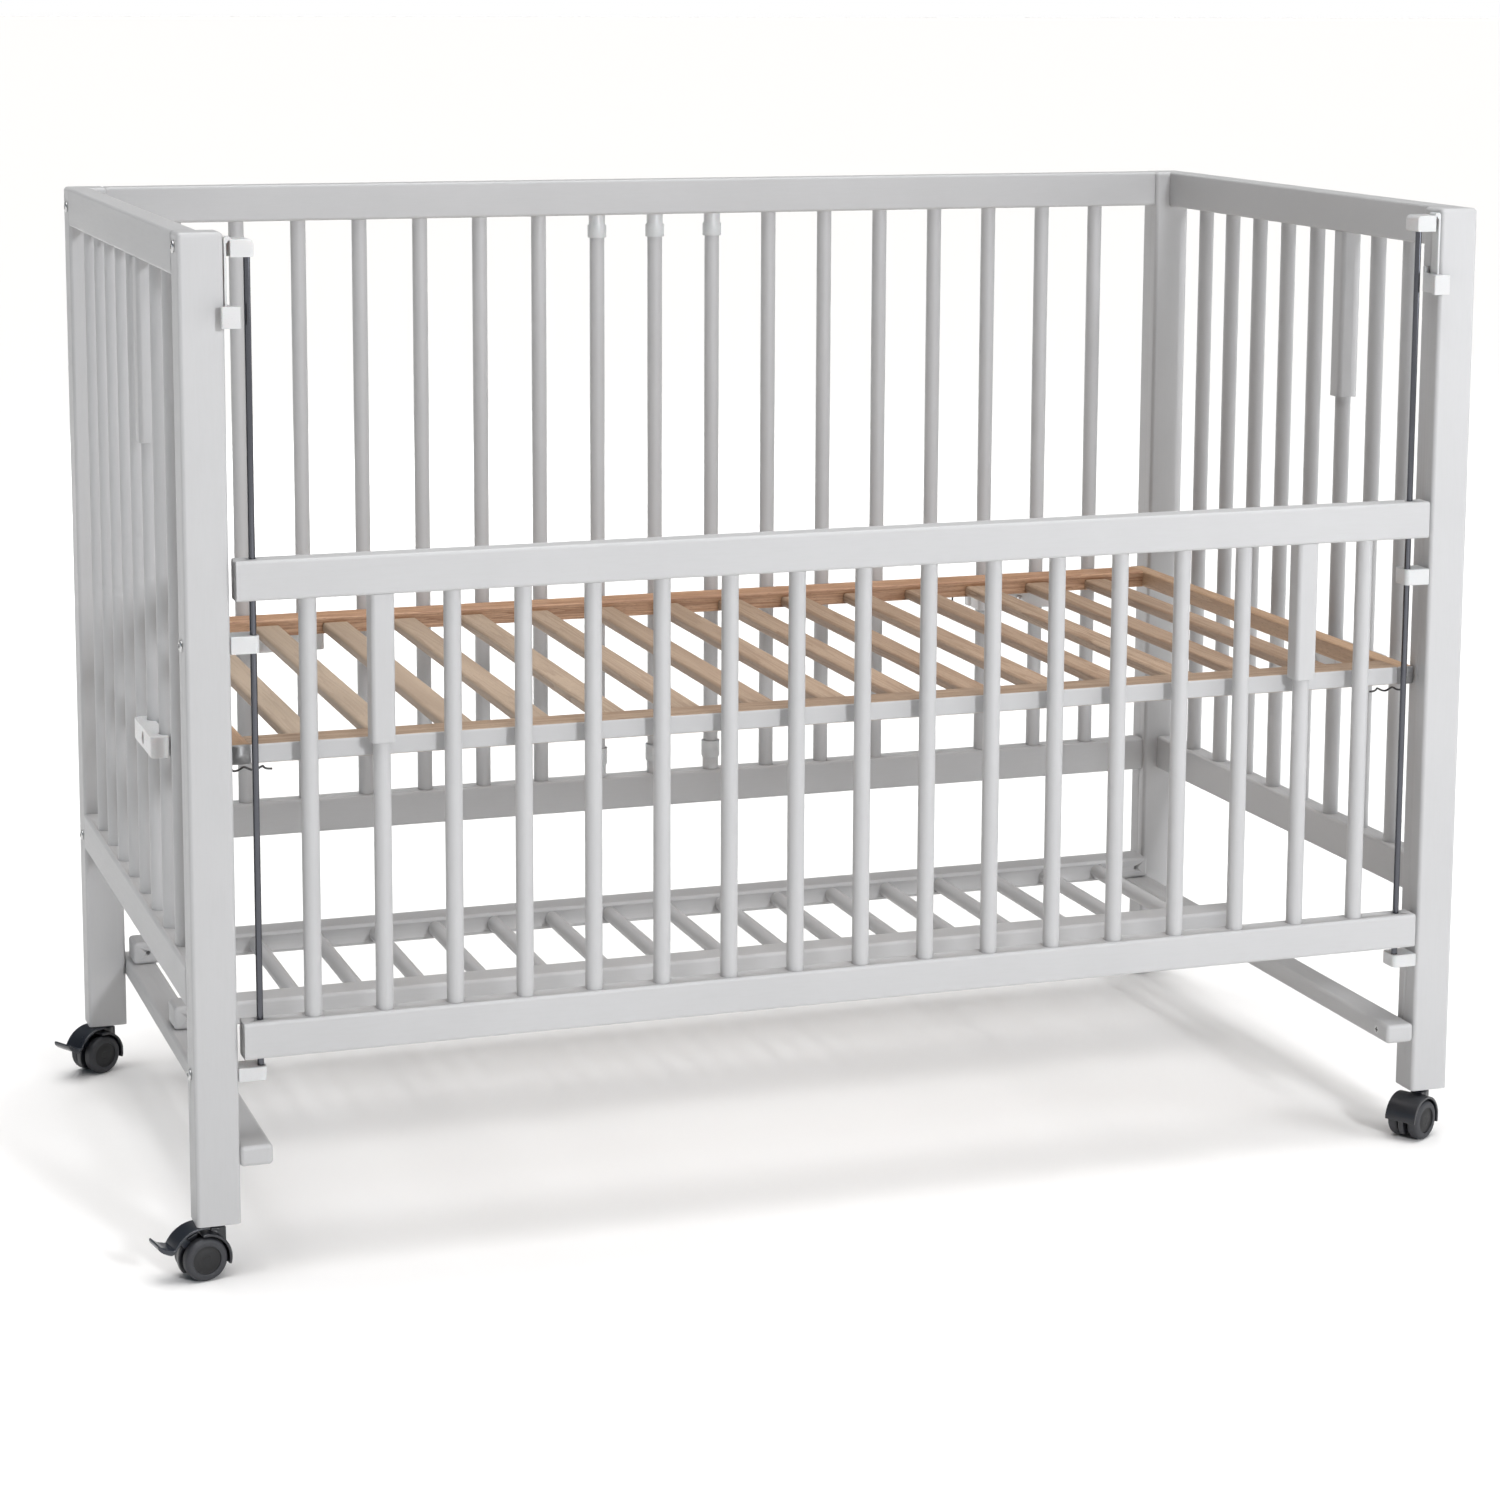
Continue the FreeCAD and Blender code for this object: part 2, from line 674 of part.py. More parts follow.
def make_catch(side, word):
    """The springy catch of one rod: a tongue beside the post that ends in a hook and a tab."""
    name = f"{word}_catch"
    body = new_body(name)
    # the XZ plane's normal is -Y, so a height of +336 lies at y = -336
    tongue = new_sketch(body, f"{name}_tongue", "XZ_Plane", "tongue_front")
    top, high = "top_bracket_high", "top_bracket_high + curl_high"
    profile = (("curl_inner", f"{top} + curl_gap"), ("tongue_inner", f"{top} + curl_gap"),
               ("tongue_inner", "hook_high"), ("tongue_outer", "hook_high"),
               ("tongue_outer", f"{high} - tab_round"), ("tongue_outer - tab_round", high),
               ("curl_inner + tab_round", high), ("curl_inner", f"{high} - tab_round"))
    draw_outline(tongue, [(f"{side} * ({x})", z) for x, z in profile])
    extrude(body, "PartDesign::Pad", f"{name}_tongue_pad", tongue, "tongue_front - tongue_rear", True)

    root = new_sketch(body, f"{name}_root", "XZ_Plane", "tongue_front")
    draw_ring(root, f"{side} * root_x", "top_bracket_high", "root_radius")
    extrude(body, "PartDesign::Pad", f"{name}_root_pad", root, "tongue_front - tongue_rear", True)

    hook = new_sketch(body, f"{name}_hook", "XY_Plane", "hook_low")
    outline = (("tab_inner", "-tab_front"), ("tab_outer", "-tab_front"),
               ("tab_outer", "-tab_front + tab_thick"), ("tongue_outer", "-tab_front + tab_thick"),
               ("tongue_outer", "-arm_rear"), ("arm_inner", "-arm_rear"),
               ("arm_inner", "-tab_rear"), ("tab_inner", "-tab_rear"))
    draw_outline(hook, [(f"{side} * {x}", y) for x, y in outline])
    extrude(body, "PartDesign::Pad", f"{name}_hook_pad", hook, "hook_high - hook_low")

    nub = new_sketch(body, f"{name}_nub", "XY_Plane", "hook_high")
    outline = (("arm_inner", "-arm_rear - nub_long"), ("tongue_outer", "-arm_rear - nub_long"),
               ("tongue_outer", "-arm_rear"), ("arm_inner", "-arm_rear"))
    draw_outline(nub, [(f"{side} * {x}", y) for x, y in outline])
    extrude(body, "PartDesign::Pad", f"{name}_nub_pad", nub, "nub_high")
    doc.recompute()

    def tab_corner(edge):
        point = edge.CenterOfMass
        across = point.x * side
        at_tip = across < number("tab_inner + 1") or across > number("tab_outer - 1")
        return along(Z_AXIS)(edge) and at_tip and point.y < 0

    soften(body, f"{name}_corners", "tab_round", tab_corner)
    return node(body, name)


# ---------------------------------------------------------------- the side that lowers

def make_drop_side(rods):
    places = bar_places(LONG_BARS)
    bars = [upright(f"drop_bar_{i}", x, "-drop_y", "drop_bottom_high - bar_seat", "drop_top_low + bar_seat")
            for i, x in enumerate(places)]
    group = node(compound("drop_bars", bars), "drop_bars")
    blocks = [square_block(f"drop_block_{i}", places[i], "-drop_y", "drop_block_low", "drop_top_low",
                           bars[i])
              for i in BLOCK_BARS_DROP]
    node(compound("drop_bar_blocks", blocks), "drop_bar_blocks")
    length = ("-drop_half", "drop_half")
    thick = ("-(drop_y + rail_thick / 2)", "-(drop_y - rail_thick / 2)")
    bushes = []
    for rail, low, high in (("top", "drop_top_low", "drop_top_high"),
                            ("bottom", "drop_bottom_low", "drop_bottom_high")):
        bores = []
        for side, word in ((LEFT, "left"), (RIGHT, "right")):
            start = (f"{side} * rod_x", "-drop_y", low)
            outer = cylinder(f"{rail}_bush_{word}_outer", "z", "bush_radius", start, f"{high} - {low}")
            hole = cylinder(f"{rail}_bush_{word}_hole", "z", "rod_radius + slide_clearance", start,
                            f"{high} - {low}")
            bushes.append(cut(f"{rail}_bush_{word}", outer, hole))
            bores.append(outer)
        make_rail(f"drop_{rail}_rail", length, thick, (low, high), [group] + bores, along(X_AXIS))
    node(compound("drop_rail_bushes", bushes), "drop_rail_bushes")


# ---------------------------------------------------------------- slatted base

def make_base():
    z = ("base_low", "base_high")
    front = ("-base_front", "-base_front + base_rail_wide")
    back = ("base_back - base_rail_wide", "base_back")
    inner = "base_half - base_end_wide"
    length = (f"-({inner})", inner)
    slats = []
    for index in range(SLATS):
        x = f"{index - (SLATS - 1) / 2} * slat_pitch"
        plain = block(f"slat_{index}_plain", (f"{x} - slat_wide / 2", f"{x} + slat_wide / 2"),
                      (f"{front[1]} - bar_seat", f"{back[0]} + bar_seat"),
                      ("slat_low", "slat_low + slat_thick"))
        slats.append(rounded(f"slat_{index}", plain, "slat_round", along(Y_AXIS)))
    group = node(compound("base_slats", slats), "base_slats")
    screws = []
    for side, word in ((LEFT, "left"), (RIGHT, "right")):
        for row, y in (("front", "-base_front + base_rail_wide / 2"),
                       ("rear", "base_back - base_rail_wide / 2")):
            start = f"{inner} - base_screw_past" if side > 0 else "-base_half"
            screws.append(cylinder(f"base_screw_{word}_{row}", "x", "screw_radius",
                                   (start, y, "(base_low + base_high) / 2"),
                                   "base_end_wide + base_screw_past"))
    fixings = node(compound("base_screws", screws), "base_screws")
    level = ("slat_low", "slat_low + slat_thick")
    grooves = (block("front_groove", length, (f"{front[1]} - slat_groove", front[1]), level),
               block("rear_groove", length, (back[0], f"{back[0]} + slat_groove"), level))
    for name, y, groove in (("base_front_rail", front, grooves[0]), ("base_rear_rail", back, grooves[1])):
        make_rail(name, length, y, z, [group, fixings, groove], along(X_AXIS), "screw_radius")
    for side, word in ((LEFT, "left"), (RIGHT, "right")):
        make_rail(f"base_{word}_rail", sided(side, inner, "base_half"), ("-base_front", "base_back"), z,
                  [fixings], along(Y_AXIS), "screw_radius")


def clamp_jaws(name, axis, side, along_middle, bar_line, inner_edge):
    """The outer and inner jaw and the bolt of one clamp, gripping two bars.

    axis is the way the clamp closes, side its outward sense, along_middle the place of its bolt
    along the bars' row, bar_line the bars' plane and inner_edge how far in the inner jaw reaches.
    """
    outer_start = f"{bar_line} + clamp_gap / 2"
    outer_end = f"{outer_start} + clamp_outer_thick"
    spans = {"outer": sided(side, outer_start, outer_end),
             "inner": sided(side, inner_edge, f"{bar_line} - clamp_gap / 2")}
    row = (f"{along_middle} - clamp_half", f"{along_middle} + clamp_half")
    height = ("clamp_low", "base_low")
    middle = "(clamp_low + base_low) / 2"

    def point(across, lengthways, z):
        return (across, lengthways, z) if axis == "x" else (lengthways, across, z)

    notches = []
    for number_in_clamp, offset in enumerate(("-bar_pitch / 2", "bar_pitch / 2")):
        start = point(f"{side} * ({bar_line})", f"{along_middle} + {offset}", "clamp_low")
        notches.append(cylinder(f"{name}_notch_{number_in_clamp}", "z", "bar_radius + clamp_clearance",
                                start, "base_low - clamp_low"))
    shank_low = f"{inner_edge} - nut_high" if side > 0 else f"-({outer_end} - clamp_sink)"
    shank = cylinder(f"{name}_shank", axis, "clamp_bolt_radius", point(shank_low, along_middle, middle),
                     f"({outer_end} - clamp_sink) - ({inner_edge} - nut_high)")
    sunk = f"{outer_end} - clamp_sink"
    head_low = sunk if side > 0 else f"-({sunk}) - bolt_head_high"
    head = cylinder(f"{name}_head", axis, "bolt_head_radius", point(head_low, along_middle, middle),
                    "bolt_head_high")
    sink_low = sunk if side > 0 else f"-({outer_end})"
    sink = cylinder(f"{name}_sink", axis, "bolt_head_radius + nut_room",
                    point(sink_low, along_middle, middle), "clamp_sink")
    nut_low = f"{inner_edge} - nut_high" if side > 0 else f"-({inner_edge})"
    nut = cylinder(f"{name}_nut", axis, "bolt_head_radius", point(nut_low, along_middle, middle),
                   "nut_high")
    bolt_solid = fuse(f"{name}_bolt", [shank, head, nut])
    tools = compound(f"{name}_tools", notches + [shank, sink])
    jaws = {}
    for kind, span in spans.items():
        x, y = (span, row) if axis == "x" else (row, span)
        plain = block(f"{name}_{kind}_plain", x, y, height)
        soft = rounded(f"{name}_{kind}_soft", plain, "bracket_round", along(Z_AXIS))
        jaws[kind] = cut(f"{name}_{kind}", soft, tools)
    return jaws["outer"], jaws["inner"], bolt_solid


def make_clamps():
    outer_jaws, inner_jaws, bolts = [], [], []
    end_places = bar_places(END_BARS)
    rear_places = bar_places(LONG_BARS)
    end_middle = f"(({end_places[END_CLAMP_BARS[0]]}) + ({end_places[END_CLAMP_BARS[1]]})) / 2"
    end_line = "post_x + post_width / 2 - rail_thick / 2"
    clamps = [("left_clamp", "x", LEFT, end_middle, end_line, "clamp_inner_end"),
              ("right_clamp", "x", RIGHT, end_middle, end_line, "clamp_inner_end")]
    for word, pair in zip(("rear_left", "rear_right"), REAR_CLAMP_BARS):
        middle = f"(({rear_places[pair[0]]}) + ({rear_places[pair[1]]})) / 2"
        clamps.append((f"{word}_clamp", "y", REAR, middle, "post_y", "clamp_inner_rear"))
    for clamp in clamps:
        outer, inner, bolt_solid = clamp_jaws(*clamp)
        outer_jaws.append(outer)
        inner_jaws.append(inner)
        bolts.append(bolt_solid)
    node(compound("clamp_outer_jaws", outer_jaws), "clamp_outer_jaws")
    node(compound("clamp_inner_jaws", inner_jaws), "clamp_inner_jaws")
    node(compound("clamp_bolts", bolts), "clamp_bolts")


def wire_hook(x, y, heading):
    """A bent wire under the base: one end turned up into the wood, then a wavy run."""
    top = number("base_low")
    shift = FreeCAD.Vector(number(x) + number("shift_x"), number(y) + number("shift_y"), 0)
    wire_radius, drop, run, bend = (number(f"wire_{word}") for word in ("radius", "drop", "run", "bend"))

    def at(distance, height):
        return shift + FreeCAD.Vector(heading * distance, 0, height)

    start, low = at(0, top), at(0, top - drop + bend)
    cut_in = bend * (1 - math.sqrt(0.5))
    middle, flat = at(cut_in, top - drop + cut_in), at(bend, top - drop)
    edges = [Part.LineSegment(start, low).toShape(), Part.Arc(low, middle, flat).toShape()]
    crests = [at(bend + run * part, top - drop + rise) for part, rise in WIRE_WAVE]
    level = FreeCAD.Vector(heading, 0, 0)
    wave = Part.BSplineCurve()
    wave.interpolate(Points=[flat] + crests, InitialTangent=level, FinalTangent=level)
    edges.append(wave.toShape())
    path = Part.Wire(edges)
    section = Part.Wire(Part.makeCircle(wire_radius, start, Z_AXIS))
    return path.makePipeShell([section], True, False)


def make_wire_hooks():
    """Three bent-wire hooks under the base, two at its front corners and one at the rear."""
    places = (("-(base_half - wire_edge)", "-base_front + wire_front", RIGHT),
              ("base_half - wire_edge", "-base_front + wire_front", LEFT),
              ("wire_rear_x", "base_back - wire_rear", LEFT))
    hooks = doc.addObject("Part::Feature", "base_wire_hooks")
    hooks.Shape = Part.makeCompound([wire_hook(*where) for where in places])
    hooks.Placement = FreeCAD.Placement()
    return node(hooks, "base_wire_hooks")


# ---------------------------------------------------------------- casters

def set_caster(thing, side, end, angle):
    """Move a caster piece drawn about its stem to its post and turn it to its swivel angle."""
    thing.Placement = FreeCAD.Placement(FreeCAD.Vector(), FreeCAD.Rotation(Z_AXIS, angle))
    place(thing, f"{side} * post_x", f"{end} * post_y")
    return thing


def local(solid, x="0", y="0", z="0"):
    """Place a solid in a caster's own frame, where x = y = 0 is the stem."""
    bind(solid, ".Placement.Base.x", x)
    bind(solid, ".Placement.Base.y", y)
    bind(solid, ".Placement.Base.z", z)
    return solid


def turned_y(name, radius, low, high, x="-trail", z="wheel_radius"):
    """A cylinder along y in a caster's own frame."""
    solid = doc.addObject("Part::Cylinder", name)
    bind(solid, "Radius", radius)
    bind(solid, "Height", f"({high}) - ({low})")
    solid.Placement = FreeCAD.Placement(FreeCAD.Vector(), TURN["y"])
    return local(solid, x, low, z)


def arch_sector(name, outer, inner, half, first, last, centre=("-trail", "wheel_radius")):
    """Part of a ring about the axle, as wide as 2 * half, between two angles above +x."""
    ring = doc.addObject("Part::Cylinder", name + "_ring")
    bind(ring, "Radius", outer)
    bind(ring, "Height", f"2 * ({half})")
    ring.Angle = last - first
    ring.Placement = FreeCAD.Placement(FreeCAD.Vector(), FreeCAD.Rotation(X_AXIS, 90)
                                       .multiply(FreeCAD.Rotation(Z_AXIS, first)))
    local(ring, centre[0], half, centre[1])
    hollow = turned_y(name + "_hollow", inner, f"-({half}) - 1", f"{half} + 1", *centre)
    return cut(name, ring, hollow)


def make_caster_body(name, side, end, angle, braked):
    """The caster's black body: swivel housing, web between the wheels and hood over them."""
    housing = doc.addObject("Part::Cylinder", f"{name}_housing")
    bind(housing, "Radius", "housing_radius")
    bind(housing, "Height", "housing_high - wheel_radius")
    local(housing, "0", "0", "wheel_radius")
    hood_end = HOOD_BRAKED if braked else HOOD_FREE
    hood = arch_sector(f"{name}_hood", "hood_outer", "hood_inner", "wheel_outer", HOOD_FIRST, hood_end)
    web = turned_y(f"{name}_web", "hood_inner + 1", "-web_half", "web_half")
    cheek = doc.addObject("Part::Box", f"{name}_cheek")
    bind(cheek, "Length", "trail")
    bind(cheek, "Width", "2 * web_half")
    bind(cheek, "Height", "hood_inner")
    local(cheek, "-trail", "-web_half", "wheel_radius")
    solid = fuse(f"{name}_solid", [housing, hood, web, cheek])
    stem_bore = doc.addObject("Part::Cylinder", f"{name}_stem_bore")
    bind(stem_bore, "Radius", "stem_radius + slide_clearance")
    bind(stem_bore, "Height", "housing_high - stem_low + 1")
    local(stem_bore, "0", "0", "stem_low - 0.5")
    axle_bore = turned_y(f"{name}_axle_bore", "axle_radius + slide_clearance", "-web_half - 1",
                         "web_half + 1")
    floor_room = doc.addObject("Part::Box", f"{name}_floor_room")
    bind(floor_room, "Length", "4 * wheel_radius")
    bind(floor_room, "Width", "2 * wheel_outer")
    bind(floor_room, "Height", "10")
    local(floor_room, "-trail - 2 * wheel_radius", "-wheel_outer", "-4")
    wheel_room = [turned_y(f"{name}_room_{word}", "hood_inner", low, high)
                  for word, low, high in (("near", "-wheel_outer - 1", "-web_half"),
                                          ("far", "web_half", "wheel_outer + 1"))]
    tools = compound(f"{name}_tools", [stem_bore, axle_bore, floor_room] + wheel_room)
    whole = cut(f"{name}_open", solid, tools)
    label = f"caster_body_{name}"
    return node(set_caster(compound(label, [whole]), side, end, angle), label)


def make_caster_wheels(name, side, end, angle):
    """Twin wheels and the axle that they are pressed on."""
    pieces = [turned_y(f"{name}_axle", "axle_radius", "-wheel_outer + 4", "wheel_outer - 4")]
    for word, sense in (("near", -1), ("far", 1)):
        body = doc.addObject("PartDesign::Body", f"{name}_wheel_{word}")
        drawing = new_sketch(body, f"{name}_wheel_{word}_section", "XY_Plane")
        inner, outer = f"{sense} * wheel_inner", f"{sense} * wheel_outer"
        hub_face = f"{sense} * (wheel_outer - hub_recess)"
        blind = f"{sense} * (wheel_outer - 4)"
        corner, edge = f"{sense} * (wheel_outer - 3)", f"{sense} * (wheel_inner + 2)"
        draw_outline(drawing, (
            ("axle_radius", inner), ("wheel_radius - 2", inner), ("wheel_radius", edge),
            ("wheel_radius", corner), ("wheel_radius - 0.9", f"{sense} * (wheel_outer - 0.9)"),
            ("wheel_radius - 3", outer), ("hub_radius", outer), ("hub_radius - 0.6", hub_face),
            ("0", hub_face), ("0", blind), ("axle_radius", blind)))
        revolve(body, f"{name}_wheel_{word}_turned", drawing)
        pieces.append(local(body, "-trail", "0", "wheel_radius"))
    label = f"caster_wheels_{name}"
    return node(set_caster(compound(label, pieces), side, end, angle), label)


def make_pedal(name, side, end, angle):
    """The brake pedal: an arch over the wheels with a foot lip, carried by two cheeks on the axle."""
    centre = ("-trail - 1.5", "wheel_radius - 1")
    arch = arch_sector(f"{name}_arch", "pedal_radius", "pedal_radius - pedal_thick", "pedal_half",
                       PEDAL_FIRST, PEDAL_LAST, centre)
    lip_body = doc.addObject("PartDesign::Body", f"{name}_lip")
    drawing = new_sketch(lip_body, f"{name}_lip_outline", "XZ_Plane", "-pedal_half + 3")
    draw_outline(drawing, [(str(x), str(z)) for x, z in PEDAL_LIP])
    extrude(lip_body, "PartDesign::Pad", f"{name}_lip_pad", drawing, "2 * pedal_half - 6")
    cheeks = []
    for word, sense in (("near", -1), ("far", 1)):
        low = f"{sense} * (web_half + 1.3) - 1"
        eye = turned_y(f"{name}_eye_{word}", "4.5", low, f"{low} + 2")
        arm = doc.addObject("Part::Box", f"{name}_arm_{word}")
        arm.Placement = FreeCAD.Placement(FreeCAD.Vector(), FreeCAD.Rotation(Y_AXIS, -135))
        bind(arm, "Length", "pedal_radius - 1.2")
        bind(arm, "Width", "2")
        bind(arm, "Height", "7")
        local(arm, "-trail + 2.5", low, "wheel_radius + 2.5")
        cheeks += [eye, arm]
    solid = fuse(f"{name}_solid", [arch, lip_body] + cheeks)
    bore = turned_y(f"{name}_bore", "axle_radius + slide_clearance", "-pedal_half", "pedal_half")
    label = f"caster_pedal_{name}"
    whole = cut(f"{name}_pedal_bored", solid, bore)
    return node(set_caster(compound(label, [whole]), side, end, angle), label)


# ---------------------------------------------------------------- assembly

def build():
    bolts = make_bolts()
    screws = make_screws()
    stems = make_stems()
    for side, side_word in ((LEFT, "left"), (RIGHT, "right")):
        for end, end_word in ((FRONT, "front"), (REAR, "rear")):
            name = f"post_{end_word}_{side_word}"
            make_post(side, end, name, compound(f"{name}_fixings", [bolts, screws, stems]))
    blocks = [make_end(side, word) for side, word in ((LEFT, "left"), (RIGHT, "right"))]
    node(compound("end_bar_blocks", blocks), "end_bar_blocks")
    make_rear(bolts)
    for count, index in enumerate(SLIP_BARS, start=1):
        make_slip_bar(count, index)
    for side, word in ((LEFT, "left"), (RIGHT, "right")):
        make_stretcher(side, word, screws)
    make_shelf(screws)
    rods = list(make_rods())
    make_brackets(rods, bolts)
    for side, word in ((LEFT, "left"), (RIGHT, "right")):
        make_catch(side, word)
    make_drop_side(rods)
    make_base()
    make_clamps()
    make_wire_hooks()
    for name, (side, end, angle, braked) in CASTERS.items():
        make_caster_body(name, side, end, angle, braked)
        make_caster_wheels(name, side, end, angle)
        if braked:
            make_pedal(name, side, end, angle)
    doc.recompute()


def check():
    """Stop before anything is written if an object failed or a sub-part is not sound."""
    for thing in doc.Objects:
        if "Invalid" in thing.State or "Error" in thing.State:
            raise RuntimeError(f"{thing.Label} is {thing.State}")
    for thing in nodes:
        if thing.Shape.isNull() or not thing.Shape.isValid() or not thing.Shape.Solids:
            raise RuntimeError(f"{thing.Label} has no sound shape")


def write():
    os.makedirs("parts", exist_ok=True)
    whole = FreeCAD.BoundBox()
    for thing in nodes:
        thing.Shape.exportStep(f"parts/{thing.Label}.step")
        whole.add(thing.Shape.optimalBoundingBox())
        volume = thing.Shape.Volume / 1000
        print(f"{thing.Label:28s} solids {len(thing.Shape.Solids):3d} volume {volume:9.2f} cm3")
    print(f"{len(nodes)} nodes, x {whole.XMin:.2f} to {whole.XMax:.2f}, "
          f"y {whole.YMin:.2f} to {whole.YMax:.2f}, z {whole.ZMin:.2f} to {whole.ZMax:.2f}")


build()
check()
write()
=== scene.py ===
"""Looks of the baby crib: lacquered wood, natural slats, steel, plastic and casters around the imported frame.

Metres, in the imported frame: +X along the crib, -Y the side that lowers, +Z up, the floor at z = 0.
"""
import json
import math

import bmesh
import bpy
from mathutils import Matrix, Vector


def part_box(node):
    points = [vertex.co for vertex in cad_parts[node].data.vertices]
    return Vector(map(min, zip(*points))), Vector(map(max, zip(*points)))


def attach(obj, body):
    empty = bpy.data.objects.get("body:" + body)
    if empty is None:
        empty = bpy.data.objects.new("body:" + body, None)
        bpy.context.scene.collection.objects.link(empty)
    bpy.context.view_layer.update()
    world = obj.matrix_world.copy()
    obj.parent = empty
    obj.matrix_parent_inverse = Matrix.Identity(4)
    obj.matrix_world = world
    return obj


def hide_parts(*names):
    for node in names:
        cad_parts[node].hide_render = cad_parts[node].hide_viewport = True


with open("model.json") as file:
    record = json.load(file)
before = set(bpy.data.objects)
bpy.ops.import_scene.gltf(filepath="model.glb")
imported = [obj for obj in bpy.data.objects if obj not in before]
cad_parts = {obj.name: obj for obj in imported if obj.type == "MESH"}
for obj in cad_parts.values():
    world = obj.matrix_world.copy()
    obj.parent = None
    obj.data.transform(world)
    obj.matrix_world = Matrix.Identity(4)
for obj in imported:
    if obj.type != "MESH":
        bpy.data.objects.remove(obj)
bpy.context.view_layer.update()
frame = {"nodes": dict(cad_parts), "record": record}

MM = 0.001
JOIN_REACH = 0.00001             # vertices closer than this are one
scene = bpy.context.scene
record = frame["record"]
joints = {joint["name"]: joint for joint in record["behaviour"]["joints"]}


# ---------------------------------------------------------------- camera, floor and light

CAMERA_PLACE = (-1.1382, -3.3472, 1.1667)
CAMERA_TURN = (0.3418, 0.1563, 0.0061)              # heading, downward pitch and roll, in radians
SENSOR, LENS = 36, 84.58                            # millimetres
CAMERA_SHIFT = (-0.0227, -0.15)


def look_along(yaw, pitch, roll):
    """Camera axes for a heading off +Y towards +X, a downward pitch and a roll."""
    ahead = Vector((math.sin(yaw) * math.cos(pitch), math.cos(yaw) * math.cos(pitch), -math.sin(pitch)))
    level = Vector((math.cos(yaw), -math.sin(yaw), 0))
    over = level.cross(ahead)
    right = level * math.cos(roll) + over * math.sin(roll)
    up = over * math.cos(roll) - level * math.sin(roll)
    return Matrix((right, up, -ahead)).transposed()


def make_camera():
    """The camera at the viewing angle of the main render."""
    data = bpy.data.cameras.new("camera")
    data.sensor_width = SENSOR
    data.lens = LENS
    data.shift_x, data.shift_y = CAMERA_SHIFT
    data.clip_end = 200
    camera = bpy.data.objects.new("camera", data)
    scene.collection.objects.link(camera)
    camera.matrix_world = Matrix.Translation(CAMERA_PLACE) @ look_along(*CAMERA_TURN).to_4x4()
    scene.camera = camera


FLOOR_HALF = 80.0
FLOOR_COLOUR = (0.80, 0.790, 0.780, 1)


def make_stage():
    """A white floor that runs into a white surround."""
    mesh = bpy.data.meshes.new("floor")
    corners = [(x * FLOOR_HALF, y * FLOOR_HALF, 0) for x, y in ((-1, -1), (1, -1), (1, 1), (-1, 1))]
    mesh.from_pydata(corners, [], [(0, 1, 2, 3)])
    floor = bpy.data.objects.new("floor", mesh)
    scene.collection.objects.link(floor)
    material = bpy.data.materials.new("floor_paper")
    material.use_nodes = True
    shader = material.node_tree.nodes["Principled BSDF"]
    shader.inputs["Base Color"].default_value = FLOOR_COLOUR
    shader.inputs["Roughness"].default_value = 0.9
    shader.inputs["Specular IOR Level"].default_value = 0.0
    mesh.materials.append(material)


WORLD_EDGE = 1.0                 # brightness at and below the horizon
WORLD_SIDE = 0.04                # around the sides
WORLD_TOP = 5.05                 # overhead
WORLD_BANDS = ((0.0, WORLD_EDGE), (0.04, WORLD_EDGE), (0.12, WORLD_SIDE), (0.83, WORLD_SIDE),
               (0.91, WORLD_TOP), (1.0, WORLD_TOP))


def make_world():
    """A studio lit from overhead: white at the horizon, dark around the sides, bright on top."""
    world = bpy.data.worlds.new("studio")
    scene.world = world
    world.use_nodes = True
    tree = world.node_tree
    place = tree.nodes.new("ShaderNodeTexCoord").outputs["Generated"]
    parts = tree.nodes.new("ShaderNodeSeparateXYZ")
    tree.links.new(place, parts.inputs[0])
    ramp = tree.nodes.new("ShaderNodeValToRGB")
    tree.links.new(parts.outputs["Z"], ramp.inputs["Fac"])
    band = ramp.color_ramp
    while len(band.elements) < len(WORLD_BANDS):
        band.elements.new(0.5)
    for element, (position, level) in zip(band.elements, WORLD_BANDS):
        element.position = position
        element.color = (level / WORLD_TOP, level / WORLD_TOP, level / WORLD_TOP, 1)
    back = tree.nodes["Background"]
    tree.links.new(ramp.outputs["Color"], back.inputs["Color"])
    back.inputs["Strength"].default_value = WORLD_TOP


LIGHTS_AIM = (0, 0, 0.5)         # the middle of the crib


def add_light(name, location, size, power, colour, mirrored=True):
    """An area light aimed at the crib; glossy surfaces mirror it or don't."""
    data = bpy.data.lights.new(name, "AREA")
    data.shape = "RECTANGLE"
    data.size, data.size_y = size
    data.energy = power
    data.color = colour
    light = bpy.data.objects.new(name, data)
    scene.collection.objects.link(light)
    light.location = location
    light.visible_glossy = mirrored
    light.rotation_mode = "QUATERNION"
    light.rotation_quaternion = (Vector(LIGHTS_AIM) - Vector(location)).to_track_quat("-Z", "Y")


def make_lights():
    add_light("key", (0.9, -5.0, 2.1), (0.6, 0.6), 150, (0.95, 0.97, 1.0))
    add_light("side_key", (2.0, -1.6, 1.0), (0.7, 0.7), 11, (0.93, 0.96, 1.0))
    add_light("fill", (-3.4, -0.4, 1.4), (1.6, 1.2), 4.0, (0.45, 0.72, 1.0))
    add_light("back_key", (-0.6, 5.2, 1.7), (1.5, 1.5), 110, (0.97, 0.98, 1.0), mirrored=False)
    scene.view_settings.view_transform = "Standard"


# ---------------------------------------------------------------- materials

MIX_COLOUR_INPUTS, MIX_COLOUR_OUTPUT = (0, 6, 7), 2  # sockets of a Mix node set to colour


